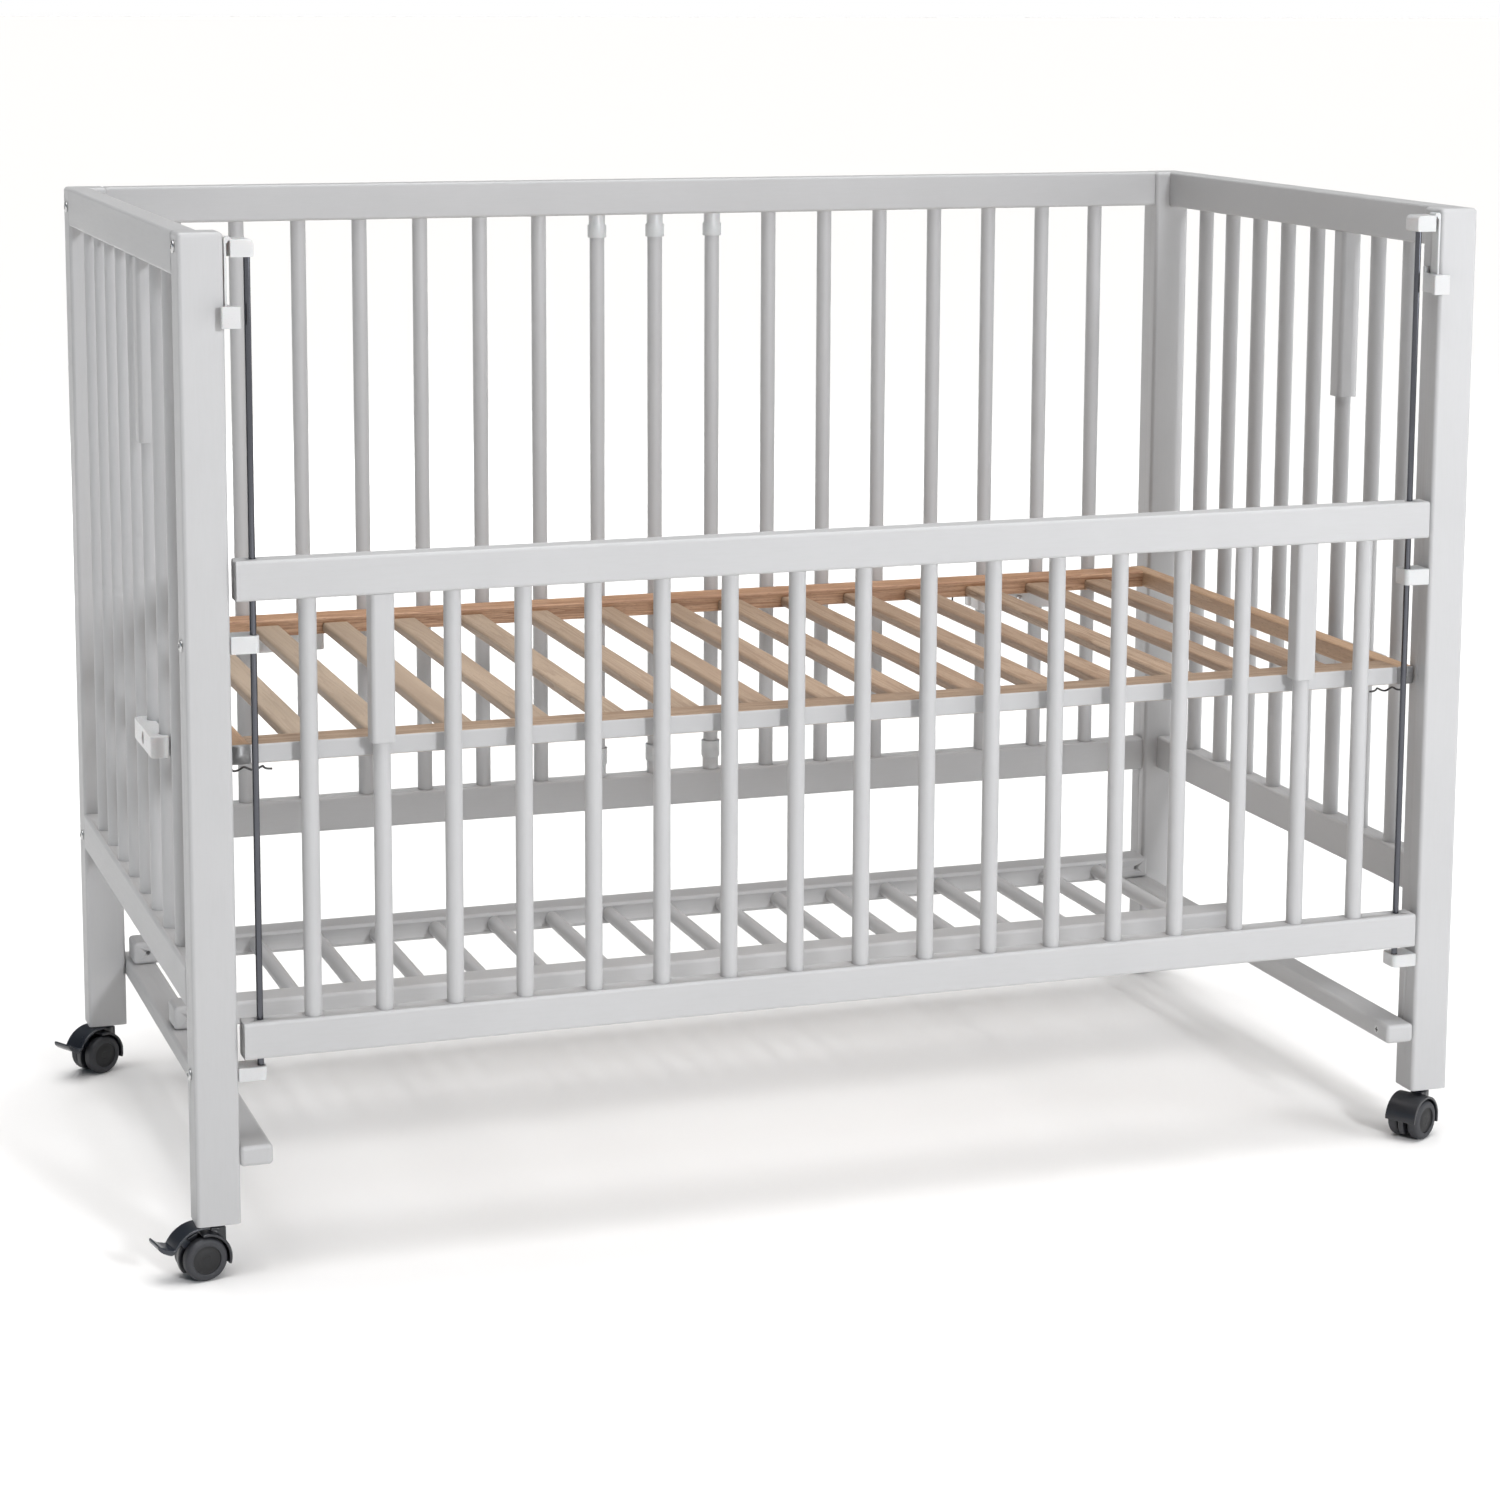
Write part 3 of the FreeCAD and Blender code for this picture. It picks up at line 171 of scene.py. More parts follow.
class Nodes:
    """A small hand for wiring one material's nodes."""

    def __init__(self, name):
        self.material = bpy.data.materials.new(name)
        self.material.use_nodes = True
        self.tree = self.material.node_tree
        self.shader = self.tree.nodes["Principled BSDF"]

    def feed(self, socket, value):
        if isinstance(value, bpy.types.NodeSocket):
            self.tree.links.new(value, socket)
        elif isinstance(value, tuple) and len(value) == 3 and socket.type == "RGBA":
            socket.default_value = (*value, 1)
        else:
            socket.default_value = value

    def add(self, kind, **inputs):
        node = self.tree.nodes.new(kind)
        for name, value in inputs.items():
            self.feed(node.inputs[name.replace("_", " ")], value)
        return node

    def set(self, **inputs):
        for name, value in inputs.items():
            self.feed(self.shader.inputs[name.replace("_", " ")], value)

    def place(self):
        return self.add("ShaderNodeTexCoord").outputs["Object"]

    def stretched(self, scale, vector=None):
        """Object coordinates multiplied by a scale along each axis."""
        mapping = self.add("ShaderNodeMapping", Vector=vector or self.place())
        mapping.inputs["Scale"].default_value = scale
        return mapping.outputs["Vector"]

    def noise(self, scale, size, detail, rough=0.55, vector=None):
        """A noise texture drawn out by a scale along each axis, of so many cycles to the metre."""
        texture = self.add("ShaderNodeTexNoise", Vector=self.stretched(scale, vector))
        texture.inputs["Scale"].default_value = size
        texture.inputs["Detail"].default_value = detail
        texture.inputs["Roughness"].default_value = rough
        return texture.outputs["Fac"]

    def math(self, operation, first, second=0.0):
        node = self.tree.nodes.new("ShaderNodeMath")
        node.operation = operation
        self.feed(node.inputs[0], first)
        self.feed(node.inputs[1], second)
        return node.outputs[0]

    def ramp(self, value, stops):
        ramp = self.add("ShaderNodeValToRGB", Fac=value)
        band = ramp.color_ramp
        while len(band.elements) < len(stops):
            band.elements.new(0.5)
        for element, (position, colour) in zip(band.elements, stops):
            element.position = position
            element.color = (*colour, 1)
        return ramp.outputs["Color"]

    def levels(self, value, old, new):
        """Fit a value's old range to a new one, clamped."""
        fit = self.add("ShaderNodeMapRange", Value=value)
        for name, number in zip(("From Min", "From Max", "To Min", "To Max"), (*old, *new)):
            fit.inputs[name].default_value = number
        return fit.outputs["Result"]

    def mix(self, fac, first, second, blend="MIX"):
        mix = self.tree.nodes.new("ShaderNodeMix")
        mix.data_type = "RGBA"
        mix.blend_type = blend
        for index, value in zip(MIX_COLOUR_INPUTS, (fac, first, second)):
            self.feed(mix.inputs[index], value)
        return mix.outputs[MIX_COLOUR_OUTPUT]

    def bump(self, height, strength, distance):
        bump = self.add("ShaderNodeBump", Height=height)
        bump.inputs["Strength"].default_value = strength
        bump.inputs["Distance"].default_value = distance
        self.set(Normal=bump.outputs["Normal"])


EVEN = (1, 1, 1)                 # texture scales along x, y and z: the same all round, or drawn out in a grain
GRAIN = {"x": (1, 14, 14), "y": (14, 1, 14), "z": (14, 14, 1)}
USUAL = (0.3, 0.7)               # the range that most of a noise texture's values are in
WHITE = (0.440, 0.438, 0.440)
# painted light falloff: the paler, greyer tone the slats take towards the start of their row
FALLOFF_PAINTED_GREY = (0.46, 0.40, 0.32)


def tinted(colour, amount):
    return tuple(amount * part for part in colour)


def white_lacquer(axis):
    """Satin white lacquer over beech, with the grain just telegraphing through along one axis."""
    n = Nodes(f"white_lacquer_{axis}")
    broad = n.noise(EVEN, 5.0, 3.0)
    fine = n.noise(GRAIN[axis], 42.0, 5.0, 0.6)
    peel = n.noise(EVEN, 260.0, 2.0)
    tint = n.ramp(broad, ((0.3, tinted(WHITE, 0.975)), (0.7, tinted(WHITE, 1.02))))
    pores = n.ramp(fine, ((0.38, (0.975, 0.974, 0.970)), (0.55, (1, 1, 1))))
    n.set(Base_Color=n.mix(0.6, tint, pores, "MULTIPLY"))
    n.set(Roughness=n.levels(fine, USUAL, (0.44, 0.56)))
    n.set(Specular_IOR_Level=0.4, Coat_Weight=0.06, Coat_Roughness=0.3)
    n.bump(n.math("ADD", n.math("MULTIPLY", fine, 0.7), n.math("MULTIPLY", peel, 0.3)), 0.10, 0.0003)
    return n.material


def natural_wood(name, axis, pale, dark, each=None, painted=None):
    """Untreated beech: growth streaks, fine fibres and short dark flecks along one axis.

    each is the axis, start and pitch of a row of pieces that differ in tone at random, with painted light
    falloff that turns them paler and greyer towards its start.
    painted is the axis and sense of a face that is lacquered white.
    """
    n = Nodes(name)
    across = GRAIN[axis]
    ring_scale = tuple(0.6 * v if v > 1 else 0.25 for v in across)
    fleck_scale = tuple(2.5 * v if v > 1 else 3.0 for v in across)
    place = n.place()
    if each:
        parts = n.add("ShaderNodeSeparateXYZ", Vector=place).outputs
        row_axis, start, pitch = each
        turn = n.math("FLOOR", n.math("DIVIDE", n.math("SUBTRACT", parts[row_axis], start), pitch))
        tone = n.tree.nodes.new("ShaderNodeTexWhiteNoise")
        tone.noise_dimensions = "1D"
        n.feed(tone.inputs["W"], turn)
        shift = n.add("ShaderNodeVectorMath")
        shift.operation = "MULTIPLY_ADD"
        n.feed(shift.inputs[0], tone.outputs["Color"])
        shift.inputs[1].default_value = (3.0, 3.0, 3.0)      # metres from one piece's wood to the next
        n.feed(shift.inputs[2], place)
        place = shift.outputs["Vector"]
    broad = n.noise(ring_scale, 5.5, 3.0, 0.5, place)
    rings = n.math("FRACT", n.math("MULTIPLY", broad, 13.0))
    fibres = n.noise(across, 60.0, 5.0, 0.65, place)
    flecks = n.noise(fleck_scale, 48.0, 1.0, 0.5, place)
    middle = tuple((p + d) / 2 for p, d in zip(pale, dark))
    wood = n.ramp(broad, ((0.34, middle), (0.62, pale)))
    wood = n.mix(n.levels(rings, (0.50, 1.0), (0.0, 0.85)), wood, dark)
    wood = n.mix(n.levels(fibres, (0.34, 0.62), (0.50, 0.0)), wood, tinted(dark, 0.90))
    wood = n.mix(n.levels(flecks, (0.60, 0.70), (0.0, 0.55)), wood, tinted(dark, 0.62))
    if each:
        wood = n.mix(n.levels(tone.outputs["Value"], (0.0, 1.0), (0.0, 0.45)), wood, tinted(dark, 1.12))
        # painted light falloff: the pieces turn paler and greyer towards the row's start
        wood = n.mix(n.levels(turn, (0.0, 9.0), (0.40, 0.0)), wood, FALLOFF_PAINTED_GREY)
    rough = n.levels(fibres, USUAL, (0.46, 0.60))
    if painted:
        facing = n.add("ShaderNodeNewGeometry").outputs["True Normal"]
        parts = n.add("ShaderNodeSeparateXYZ", Vector=facing).outputs
        face_axis, sense = painted
        mask = n.levels(parts[face_axis], (sense * 0.55, sense * 0.75), (0.0, 1.0))
        wood = n.mix(mask, wood, WHITE)
    n.set(Base_Color=wood, Roughness=rough)
    n.bump(fibres, 0.22, 0.0004)
    return n.material


def white_plastic():
    """Moulded white plastic: a faint orange peel, brighter and shinier than the lacquer."""
    n = Nodes("white_plastic")
    grain = n.noise(EVEN, 1100.0, 2.0)
    broad = n.noise(EVEN, 24.0, 2.0)
    n.set(Base_Color=n.ramp(broad, ((0.35, (0.52, 0.52, 0.52)), (0.65, (0.55, 0.55, 0.55)))))
    n.set(Roughness=n.levels(grain, USUAL, (0.26, 0.36)))
    n.set(Subsurface_Weight=0.04)
    n.bump(grain, 0.06, 0.0001)
    return n.material


def steel(name, colour, axis, roughness):
    """Bright drawn or plated steel, its fine lines along one axis and its roughness in a range."""
    n = Nodes(name)
    line_scale = tuple(v * 6 if v > 1 else 1 for v in GRAIN[axis])
    drawn = n.noise(line_scale, 60.0, 3.0)
    spots = n.noise(EVEN, 90.0, 3.0)
    shade = n.ramp(drawn, ((0.3, tinted(colour, 0.82)), (0.7, colour)))
    n.set(Base_Color=n.mix(n.levels(spots, (0.55, 0.75), (0.0, 0.35)), shade, tinted(colour, 0.7)))
    n.set(Metallic=1.0)
    n.set(Roughness=n.levels(drawn, USUAL, roughness))
    n.bump(drawn, 0.08, 0.0001)
    return n.material


def black(name, colour, roughness, grain_size, coat=0.0):
    """Black moulded plastic or rubber with a fine grain and faint scuffs."""
    n = Nodes(name)
    grain = n.noise(EVEN, grain_size, 3.0)
    scuffs = n.noise(EVEN, 60.0, 5.0, 0.7)
    shade = n.ramp(grain, ((0.35, tinted(colour, 0.8)), (0.65, colour)))
    n.set(Base_Color=n.mix(n.levels(scuffs, (0.58, 0.78), (0.0, 0.25)), shade, tinted(colour, 1.9)))
    n.set(Roughness=n.levels(scuffs, USUAL, roughness))
    n.set(Coat_Weight=coat, Coat_Roughness=0.2)
    n.bump(grain, 0.12, 0.0001)
    return n.material


LACQUER = {axis: white_lacquer(axis) for axis in "xyz"}
PALE, DARK = (0.44, 0.322, 0.228), (0.235, 0.147, 0.093)
SLAT_PITCH = 73.75 * MM
SLAT_ROW_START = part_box("base_slats")[0].x - 22 * MM     # in the gap before the first slat
SLAT = natural_wood("slat_wood", "y", PALE, DARK, ("X", SLAT_ROW_START, SLAT_PITCH))
BASE_FRONT = natural_wood("base_front_wood", "x", PALE, DARK, None, ("Y", -1))
BASE_REAR = natural_wood("base_rear_wood", "x", (0.55, 0.34, 0.21), (0.27, 0.13, 0.065))
BASE_SIDE = natural_wood("base_side_wood", "y", (0.48, 0.32, 0.20), (0.33, 0.20, 0.12), None, ("Y", -1))
PLASTIC = white_plastic()
ROD = steel("rod_steel", (0.105, 0.108, 0.122), "z", (0.10, 0.18))
ZINC = steel("zinc_steel", (0.60, 0.60, 0.60), "x", (0.26, 0.40))
WIRE = black("black_wire", (0.03, 0.03, 0.03), (0.30, 0.45), 500.0)
CASTER = black("caster_black", (0.012, 0.013, 0.017), (0.30, 0.44), 700.0, 0.3)
PEDAL = black("pedal_black", (0.016, 0.020, 0.028), (0.26, 0.38), 700.0, 0.5)
WHEEL = black("wheel_grey", (0.030, 0.031, 0.036), (0.50, 0.62), 500.0)
HUB = black("hub_black", (0.006, 0.006, 0.007), (0.45, 0.60), 600.0)


# ---------------------------------------------------------------- CAD nodes with their finish

NODE_SHARP = math.radians(35)        # edges of CAD nodes sharper than this stay sharp
FLAT_ENOUGH = math.radians(1)        # facets of one face, before a moulding's edges are rounded
ROUNDED_FROM = math.radians(50)      # edges of mouldings sharper than this are rounded over


def finish_node(name, material, rounding=None):
    """Give a CAD node its material and smooth shading, and round a moulding's sharp edges over."""
    thing = frame["nodes"][name]
    thing.data.materials.clear()
    thing.data.materials.append(material)
    thing.data.polygons.foreach_set("use_smooth", [True] * len(thing.data.polygons))
    thing.data.set_sharp_from_angle(angle=NODE_SHARP)
    weld = thing.modifiers.new("weld", "WELD")
    weld.merge_threshold = JOIN_REACH
    if rounding:
        flat = thing.modifiers.new("flat", "DECIMATE")
        flat.decimate_type = "DISSOLVE"
        flat.angle_limit = FLAT_ENOUGH
        soft = thing.modifiers.new("soft", "BEVEL")
        soft.width = rounding * MM
        soft.segments = 3
        soft.limit_method = "ANGLE"
        soft.angle_limit = ROUNDED_FROM
        soft.use_clamp_overlap = False
    level = thing.modifiers.new("level", "WEIGHTED_NORMAL")
    level.keep_sharp = True


def long_axis(name):
    low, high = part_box(name)
    size = high - low
    return "xyz"[max(range(3), key=lambda i: size[i])]


def dress_frame():
    """A material for every CAD node, by its slot or its own, and rounding in millimetres for the mouldings."""
    slots = {entry["node"]: entry["material_slot"] for entry in record["subparts"]}
    along = {"left_end_bars": "z", "right_end_bars": "z", "rear_bars": "z", "drop_bars": "z",
             "end_bar_blocks": "z", "drop_bar_blocks": "z", "shelf_dowels": "y"}
    own = {"base_front_rail": BASE_FRONT, "base_rear_rail": BASE_REAR,
           "base_left_rail": BASE_SIDE, "base_right_rail": BASE_SIDE}
    plain = {"slat_wood": SLAT, "white_plastic": PLASTIC, "rod_steel": ROD, "zinc_steel": ZINC,
             "black_wire": WIRE, "black_plastic": CASTER, "black_wheel": WHEEL}
    rounding = {"rod_lower_brackets": 1.1, "clamp_outer_jaws": 0.9, "clamp_inner_jaws": 0.9,
                "left_catch": 0.3, "right_catch": 0.3}
    for name in frame["nodes"]:
        if name in own:
            finish_node(name, own[name])
        elif slots[name] == "white_lacquer":
            finish_node(name, LACQUER[along.get(name, long_axis(name))])
        else:
            finish_node(name, plain[slots[name]], rounding.get(name))


# ---------------------------------------------------------------- mesh building

def solids(name):
    """The lowest and highest corners of each separate solid of a CAD node."""
    mesh = frame["nodes"][name].data
    work = bmesh.new()
    work.from_mesh(mesh)
    bmesh.ops.remove_doubles(work, verts=work.verts, dist=JOIN_REACH)
    seen = set()
    boxes = []
    for start in work.verts:
        if start in seen:
            continue
        seen.add(start)
        stack, points = [start], []
        while stack:
            vertex = stack.pop()
            points.append(vertex.co.copy())
            for edge in vertex.link_edges:
                other = edge.other_vert(vertex)
                if other not in seen:
                    seen.add(other)
                    stack.append(other)
        low = Vector([min(point[i] for point in points) for i in range(3)])
        high = Vector([max(point[i] for point in points) for i in range(3)])
        boxes.append((low, high))
    work.free()
    return boxes


CROSS_HALF = 0.24                # half the width of a cross recess's arms, with their reach as 1
NEVER_ZERO = 1e-9


def circle(angle):
    """Outlines of turned rings: the reach at an angle, with the widest as 1."""
    return 1.0


def hexagon(angle):
    return math.cos(math.pi / 6) / math.cos((angle % (math.pi / 3)) - math.pi / 6)


def cross(angle):
    c, s = abs(math.cos(angle)) + NEVER_ZERO, abs(math.sin(angle)) + NEVER_ZERO
    return max(min(1 / c, CROSS_HALF / s), min(1 / s, CROSS_HALF / c))


def plain_rings(profile, material=0):
    """Round rings of one material from pairs of radius and height."""
    return [(radius, height, circle, material) for radius, height in profile]


def turned(work, rings, segments, place, first_cap=False):
    """Rings about a local z axis, closed at the last: radius, height, shape, material of the band before it."""
    rows = []
    for radius, height, shape, _ in rings:
        row = []
        for step in range(segments):
            angle = 2 * math.pi * step / segments
            reach = radius * shape(angle)
            point = Vector((reach * math.cos(angle), reach * math.sin(angle), height))
            row.append(work.verts.new(place @ point))
        rows.append(row)
    for (first, second), (_, _, _, material) in zip(zip(rows, rows[1:]), rings[1:]):
        for step in range(segments):
            following = (step + 1) % segments
            face = work.faces.new((first[step], first[following], second[following], second[step]))
            face.material_index = material
    if first_cap:
        work.faces.new(list(reversed(rows[0]))).material_index = rings[0][3]
    work.faces.new(rows[-1]).material_index = rings[-1][3]


def make_piece(name, work, materials, body, replaced, sharp=40):
    """Turn a bmesh into a finished piece on a body, in place of CAD nodes; sharp is in degrees."""
    mesh = bpy.data.meshes.new(name)
    bmesh.ops.recalc_face_normals(work, faces=work.faces)
    work.to_mesh(mesh)
    work.free()
    for material in materials:
        mesh.materials.append(material)
    mesh.polygons.foreach_set("use_smooth", [True] * len(mesh.polygons))
    mesh.set_sharp_from_angle(angle=math.radians(sharp))
    piece = bpy.data.objects.new(name, mesh)
    scene.collection.objects.link(piece)
    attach(piece, body)
    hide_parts(*replaced)


def facing(point, direction):
    """A local frame at a point with its z axis along a direction."""
    turn = Vector(direction).to_track_quat("Z", "Y").to_matrix().to_4x4()
    return Matrix.Translation(point) @ turn


def smooth_line(points, steps):
    """A Catmull-Rom line through 2-D points."""
    last = len(points) - 1
    line = []
    for index in range(last):
        around = [points[min(max(index + k, 0), last)] for k in (-1, 0, 1, 2)]
        for step in range(steps):
            t = step / steps
            line.append(tuple(0.5 * (2 * b + (c - a) * t + (2 * a - 5 * b + 4 * c - d) * t * t
                                     + (3 * b - a - 3 * c + d) * t ** 3)
                              for a, b, c, d in zip(*around)))
    return line + [points[-1]]


def plate(work, outline, half, matrix):
    """An outline in a local xz plane, extruded to y = +-half."""
    rows = [[work.verts.new(matrix @ Vector((x, y, z))) for x, z in outline] for y in (-half, half)]
    count = len(outline)
    for step in range(count):
        following = (step + 1) % count
        work.faces.new((rows[0][step], rows[0][following], rows[1][following], rows[1][step]))
    work.faces.new(list(reversed(rows[0])))
    work.faces.new(rows[1])


def arc(centre, radius, first, last, steps):
    """Points on an arc between two angles in degrees."""
    turns = [math.radians(first + (last - first) * step / steps) for step in range(steps + 1)]
    return [(centre[0] + radius * math.cos(turn), centre[1] + radius * math.sin(turn)) for turn in turns]


def moulded(name, work, material, body, replaced, voxel=0.55, smooth=3):
    """Fuse overlapping pieces into one skin with softened edges; voxel is in millimetres, smooth in rounds."""
    mesh = bpy.data.meshes.new(name)
    bmesh.ops.recalc_face_normals(work, faces=work.faces)
    work.to_mesh(mesh)
    work.free()
    rough = bpy.data.objects.new(name + "_rough", mesh)
    scene.collection.objects.link(rough)
    remesh = rough.modifiers.new("fuse", "REMESH")
    remesh.mode = "VOXEL"
    remesh.voxel_size = voxel * MM
    relax = rough.modifiers.new("relax", "SMOOTH")
    relax.iterations = smooth
    relax.factor = 0.5
    graph = bpy.context.evaluated_depsgraph_get()
    skin = bpy.data.meshes.new_from_object(rough.evaluated_get(graph))
    skin.name = name
    bpy.data.objects.remove(rough)
    skin.materials.clear()
    skin.materials.append(material)
    skin.polygons.foreach_set("use_smooth", [True] * len(skin.polygons))
    piece = bpy.data.objects.new(name, skin)
    scene.collection.objects.link(piece)
    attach(piece, body)
    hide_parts(*replaced)


# ---------------------------------------------------------------- bolts and screws

HEAD_RADIUS = 5.5 * MM
HEAD_HIGH = 2.5 * MM
HEAD_DOME = ((0.97, 0), (1, 0.25), (0.985, 0.45), (0.93, 0.66), (0.82, 0.83), (0.68, 0.94))
SOCKET_RADIUS = 2.7 * MM
SOCKET_RINGS = ((1.16, 1, circle, 0), (1.02, 0.99, hexagon, 0), (1, 0.93, hexagon, 0), (1, 0.12, hexagon, 1),
                (0.5, 0.04, hexagon, 1))
BOLT_RADIUS = 3.0 * MM
THREAD_PITCH = 0.8 * MM
THREAD_ROOT = 0.88               # of the bolt's radius
NUT_HIGH = 3.0 * MM
NUT_HOLD = 4.0 * MM              # of a clamp bolt's length, in its head and the end of its nut
NUT_CROWN = ((5.0, 2.3), (4.4, 2.5), (3.2, 2.9), (1.2, 3.0))
SCREW_HEAD_RADIUS = 4.5 * MM
SCREW_TIP = 3.0 * MM


def bolt(work, place, long):
    """A low domed head with a hexagon socket on the local z = 0 plane, with a threaded shank behind."""
    rings = plain_rings([(HEAD_RADIUS * wide, HEAD_HIGH * rise) for wide, rise in HEAD_DOME])
    rings += [(SOCKET_RADIUS * wide, HEAD_HIGH * rise, shape, material)
              for wide, rise, shape, material in SOCKET_RINGS]
    turned(work, rings, 36, place)
    thread = [(BOLT_RADIUS, 0)]
    for turn in range(int(long / THREAD_PITCH)):
        for radius, share in ((BOLT_RADIUS, 0.1), (BOLT_RADIUS * THREAD_ROOT, 0.5), (BOLT_RADIUS, 0.9)):
            thread.append((radius, -turn * THREAD_PITCH - share * THREAD_PITCH))
    turned(work, plain_rings(thread), 16, place)


def make_frame_bolts():
    """Bolts through the posts, their heads on the outside."""
    work = bmesh.new()
    for low, high in solids("frame_bolts"):
        middle = (low + high) / 2
        out = 1 if middle.x > 0 else -1
        tip = high.x if out > 0 else low.x
        place = facing((tip - out * HEAD_HIGH, middle.y, middle.z), (out, 0, 0))
        bolt(work, place, high.x - low.x - HEAD_HIGH)
    make_piece("frame_bolts_sockets", work, (ZINC, HUB), "frame", ("frame_bolts",))


def make_frame_screws():
    """Countersunk screws through the stretchers, into the posts or up into the shelf."""
    work = bmesh.new()
    for low, high in solids("frame_screws"):
        middle = (low + high) / 2
        size = high - low
        if size.x > size.z:
            sense = -1 if middle.x > 0 else 1
            start = Vector((low.x if sense < 0 else high.x, middle.y, middle.z))
            normal = (sense, 0, 0)
            long = size.x
        else:
            start = Vector((middle.x, middle.y, low.z))
            normal = (0, 0, -1)
            long = size.z
        cross_head(work, facing(start, normal), SCREW_HEAD_RADIUS, long)
    make_piece("frame_screws_crossed", work, (ZINC, HUB), "frame", ("frame_screws",))


def cross_head(work, place, radius, long):
    """A countersunk cross-recessed screw whose head is flush with the local z = 0 plane."""
    thin = radius / 2
    rings = plain_rings([(thin * 0.4, -long), (thin, -long + SCREW_TIP), (thin, thin - radius),
                         (radius * 0.98, -0.15 * MM), (radius * 0.93, -0.02 * MM), (radius * 0.66, -0.02 * MM)])
    rings += [(radius * 0.60, -0.05 * MM, cross, 0), (radius * 0.55, -0.3 * MM, cross, 1),
              (radius * 0.34, -1.5 * MM, cross, 1)]
    turned(work, rings, 32, place)


def make_base_screws():
    """Countersunk screws in the outer faces and the underside of the slatted base."""
    work = bmesh.new()
    for low, high in solids("base_screws"):
        middle = (low + high) / 2
        size = high - low
        axis = max(range(3), key=lambda i: size[i])
        if axis == 2:
            start, normal = Vector((middle.x, middle.y, low.z)), (0, 0, -1)
        elif axis == 0:
            out = 1 if middle.x > 0 else -1
            start, normal = Vector((high.x if out > 0 else low.x, middle.y, middle.z)), (out, 0, 0)
        else:
            out = 1 if middle.y > 0 else -1
            start, normal = Vector((middle.x, high.y if out > 0 else low.y, middle.z)), (0, out, 0)
        radius = min(size[i] for i in range(3) if i != axis) / 2
        cross_head(work, facing(start, normal), radius, size[axis])
    make_piece("base_screws_crossed", work, (ZINC, HUB), "base", ("base_screws",))


def make_clamp_bolts():
    """Socket bolts sunk in the clamps' outer jaws, with a domed nut inside."""
    work = bmesh.new()
    for low, high in solids("clamp_bolts"):
        middle = (low + high) / 2
        size = high - low
        axis = 0 if size.x > size.y else 1
        out = 1 if middle[axis] > 0 else -1
        normal = Vector((out, 0, 0)) if axis == 0 else Vector((0, out, 0))
        ends = (high, low) if out > 0 else (low, high)
        face = middle.copy()
        face[axis] = ends[0][axis] - out * HEAD_HIGH
        bolt(work, facing(face, normal), size[axis] - NUT_HOLD)
        back = middle.copy()
        back[axis] = ends[1][axis] + out * NUT_HIGH
        rings = [(5.6 * MM, 0, hexagon, 0), (5.6 * MM, 2.0 * MM, hexagon, 0)]
        rings += plain_rings([(radius * MM, height * MM) for radius, height in NUT_CROWN])
        turned(work, rings, 36, facing(back, -normal))
    make_piece("clamp_bolts_sockets", work, (ZINC, HUB), "base", ("clamp_bolts",))


# ---------------------------------------------------------------- casters

# A caster in its own frame: millimetres, x and z from its stem, the wheels towards -x.
AXLE = (-15.0, 20.0)
HOOD_OUTER, HOOD_INNER, HOOD_HALF = 24.3, 21.7, 16.9
HOOD_FIRST, HOOD_BRAKED, HOOD_FREE = -17, 98, 178            # degrees about the axle
WEB_RADIUS, WEB_LOW, WEB_HALF = 22.3, 6.4, 2.9
NECK = [(7.2, 23.0), (7.2, 44.5), (6.2, 45.6), (-6.2, 45.6), (-7.2, 44.5), (-7.2, 40.0), (-12.0, 42.0),
        (-12.0, 23.0)]
NECK_HALF = 6.4
HOUSING = [(7.3, 22), (7.3, 44.6), (6.6, 45.6)]
WHEEL_BACK = [(2.1, 5.9), (6.5, 5.9), (7.0, 6.6), (15.0, 6.6)]
TYRE_BACK = [(15.6, 5.9), (18.0, 5.85), (19.2, 6.4), (19.9, 7.6), (20.0, 8.4), (20.0, 13.2)]
SHOULDER, SHOULDER_WIDE, SHOULDER_HIGH, SHOULDER_STEPS = (16.2, 13.2), 3.8, 4.0, 6
TYRE_FRONT = [(13.7, 17.28), (13.2, 17.1), (13.0, 16.6)]
HUB_FRONT = [(12.9, 15.9), (12.5, 15.8), (9.0, 15.95), (8.6, 16.15), (4.2, 16.2), (3.8, 15.9), (1.2, 15.85)]
AXLE_ENDS = [(2.0, -13.0), (2.0, 13.0)]
PEDAL_CENTRE = (AXLE[0] - 1.5, AXLE[1] - 1.0)
PEDAL_OUTER, PEDAL_INNER, PEDAL_HALF = 30.4, 28.1, 12.6
PEDAL_FIRST, PEDAL_TOP_END, PEDAL_LOW_END = 78, 152, 155     # degrees about its centre
LIP_TOP = [(-44.0, 32.6), (-47.5, 33.5), (-51.5, 34.6), (-55.0, 37.0), (-57.8, 39.6)]
LIP_LOW = [(-59.2, 38.9), (-58.6, 35.8), (-55.4, 32.4), (-50.4, 29.6), (-45.6, 28.3)]
PEDAL_ARM = [(-11.8, 19.0), (-12.6, 23.6), (-33.4, 41.8), (-38.6, 37.4), (-19.4, 17.4), (-15.4, 15.4)]
ARM_PLACE, ARM_HALF = 5.1, 0.95


def caster_frame(name):
    """From a caster's own frame in millimetres to the crib's in metres."""
    stem = joints[f"swivel_{name}"]["pos_m"]
    axle = joints[f"wheel_spin_{name}"]["axis"]
    angle = math.atan2(-axle[0], axle[1])
    return Matrix.Translation((stem[0], stem[1], 0)) @ Matrix.Rotation(angle, 4, "Z") @ Matrix.Scale(MM, 4)


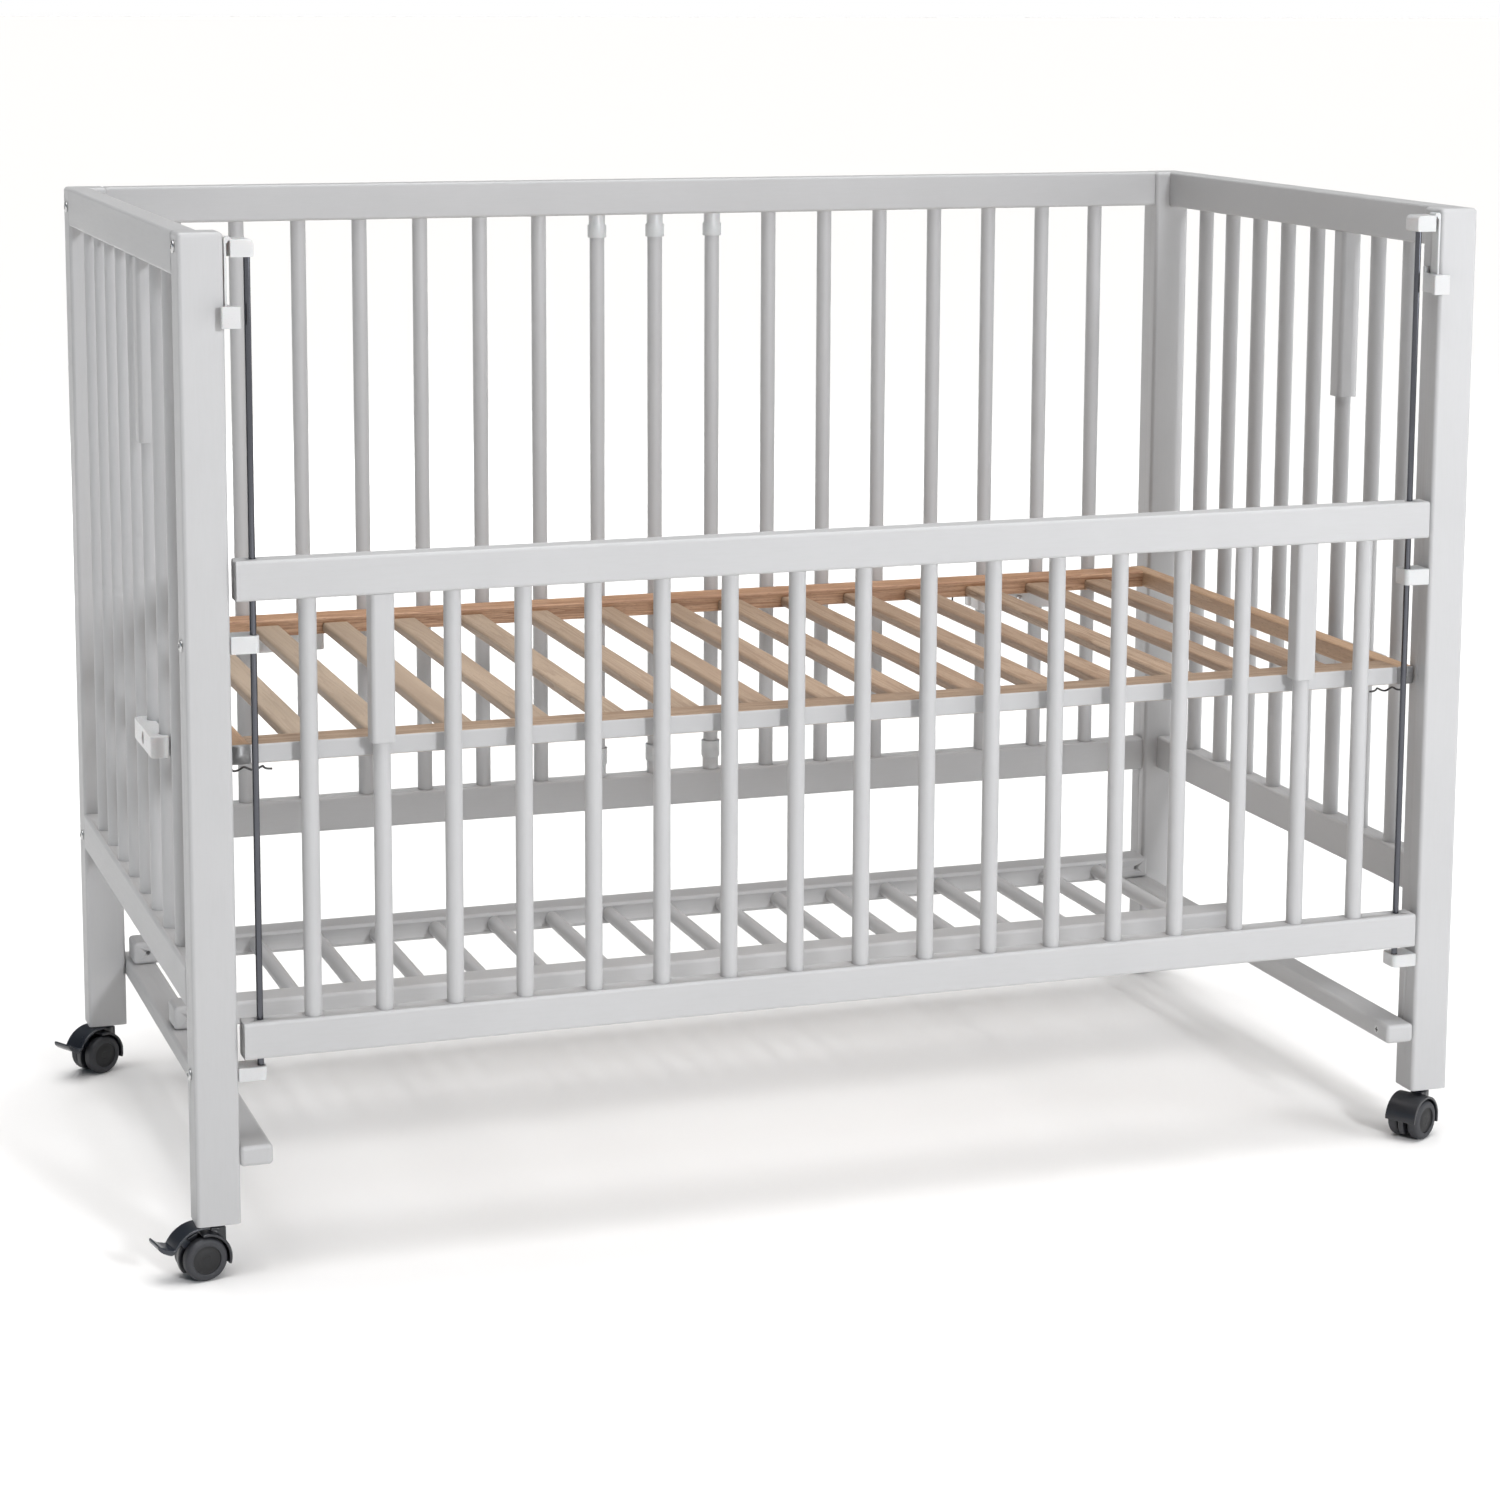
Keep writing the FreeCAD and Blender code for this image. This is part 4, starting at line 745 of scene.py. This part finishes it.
def make_caster_body(name, braked):
    """Swivel housing, the web between the wheels and the hood over them, in one moulding."""
    place = caster_frame(name)
    work = bmesh.new()
    last = HOOD_BRAKED if braked else HOOD_FREE
    hood = arc(AXLE, HOOD_OUTER, HOOD_FIRST, last, 40) + arc(AXLE, HOOD_INNER, last, HOOD_FIRST, 40)
    plate(work, hood, HOOD_HALF, place)
    web = [(x, max(z, WEB_LOW)) for x, z in arc(AXLE, WEB_RADIUS, 0, 360, 48)[:-1]]
    plate(work, web, WEB_HALF, place)
    plate(work, NECK, NECK_HALF, place)
    turned(work, plain_rings(HOUSING), 40, place, first_cap=True)
    moulded(f"caster_body_{name}_moulding", work, CASTER, f"caster_{name}",
            (f"caster_body_{name}",))


def make_caster_wheels(name):
    """Twin wheels: a grey tyre with a rounded shoulder and a black hub disc sunk in it, on a steel axle."""
    place = caster_frame(name) @ Matrix.Translation((AXLE[0], 0, AXLE[1]))
    work = bmesh.new()
    for sense in (-1, 1):
        turn = place @ facing((0, 0, 0), (0, sense, 0))
        shoulder = []
        for step in range(1, SHOULDER_STEPS + 1):
            bend = math.pi / 2 * step / SHOULDER_STEPS
            shoulder.append((SHOULDER[0] + SHOULDER_WIDE * math.cos(bend),
                             SHOULDER[1] + SHOULDER_HIGH * math.sin(bend)))
        rings = (plain_rings(WHEEL_BACK, 1) + plain_rings(TYRE_BACK + shoulder + TYRE_FRONT)
                 + plain_rings(HUB_FRONT, 1))
        turned(work, rings, 96, turn)
    turned(work, plain_rings(AXLE_ENDS, 2), 20, place @ facing((0, 0, 0), (0, 1, 0)), first_cap=True)
    make_piece(f"caster_wheels_{name}_turned", work, (WHEEL, HUB, ZINC), f"wheels_{name}",
               (f"caster_wheels_{name}",), 30)


def make_pedal(name):
    """The brake pedal: an arch over the wheels that runs out into a turned-up foot lip."""
    place = caster_frame(name)
    work = bmesh.new()
    top = arc(PEDAL_CENTRE, PEDAL_OUTER, PEDAL_FIRST, PEDAL_TOP_END, 28)
    low = arc(PEDAL_CENTRE, PEDAL_INNER, PEDAL_LOW_END, PEDAL_FIRST, 28)
    outline = top + smooth_line([top[-1]] + LIP_TOP, 4)[1:] + smooth_line(LIP_LOW + [low[0]], 4) + low[1:]
    plate(work, outline, PEDAL_HALF, place)
    for sense in (-1, 1):
        plate(work, PEDAL_ARM, ARM_HALF, place @ Matrix.Translation((0, sense * ARM_PLACE, 0)))
    moulded(f"caster_pedal_{name}_moulding", work, PEDAL, f"pedal_{name}",
            (f"caster_pedal_{name}",), 0.5)


def make_casters():
    for name in ("front_left", "front_right", "rear_left", "rear_right"):
        braked = f"brake_pedal_{name}" in joints
        make_caster_body(name, braked)
        make_caster_wheels(name)
        if braked:
            make_pedal(name)


# ---------------------------------------------------------------- top brackets of the guide rods

# In millimetres.
DOME_RADIUS, DOME_DROP = 4.4, 2.9    # of the domed end, and its centre's depth below the CAD block's top
BRACKET_RISE = 1.5                   # above the CAD block's top, to cover the rod's end
FOOT_ROUND = 2.0                     # of the lower inner edge
CATCH_SLOT, CATCH_SLOT_DEEP = 5.6, 13.5


def make_top_brackets():
    """The rods' top brackets: a domed inner end, and a slot beside the post for the catch's tongue."""
    work = bmesh.new()
    for low, high in solids("rod_top_brackets"):
        inner = high.x if low.x < 0 else low.x
        heading = -1 if low.x < 0 else 1
        long, deep, tall = ((high[i] - low[i]) / MM for i in range(3))
        for reach, first, last in ((long - CATCH_SLOT, 0, deep), (long, CATCH_SLOT_DEEP, deep)):
            outline = (arc((DOME_RADIUS, tall - DOME_DROP), DOME_RADIUS, 180, 90, 10)
                       + [(reach, tall + BRACKET_RISE), (reach, 0)]
                       + arc((FOOT_ROUND, FOOT_ROUND), FOOT_ROUND, 270, 180, 5))
            place = (Matrix.Translation((inner, low.y + (first + last) / 2 * MM, low.z))
                     @ Matrix.Diagonal((heading * MM, MM, MM, 1)))
            plate(work, outline, (last - first) / 2, place)
    moulded("rod_top_brackets_moulding", work, PLASTIC, "frame", ("rod_top_brackets",),
            0.5, 8)


make_camera()
make_stage()
make_world()
make_lights()
dress_frame()
make_frame_bolts()
make_frame_screws()
make_base_screws()
make_clamp_bolts()
make_top_brackets()
make_casters()
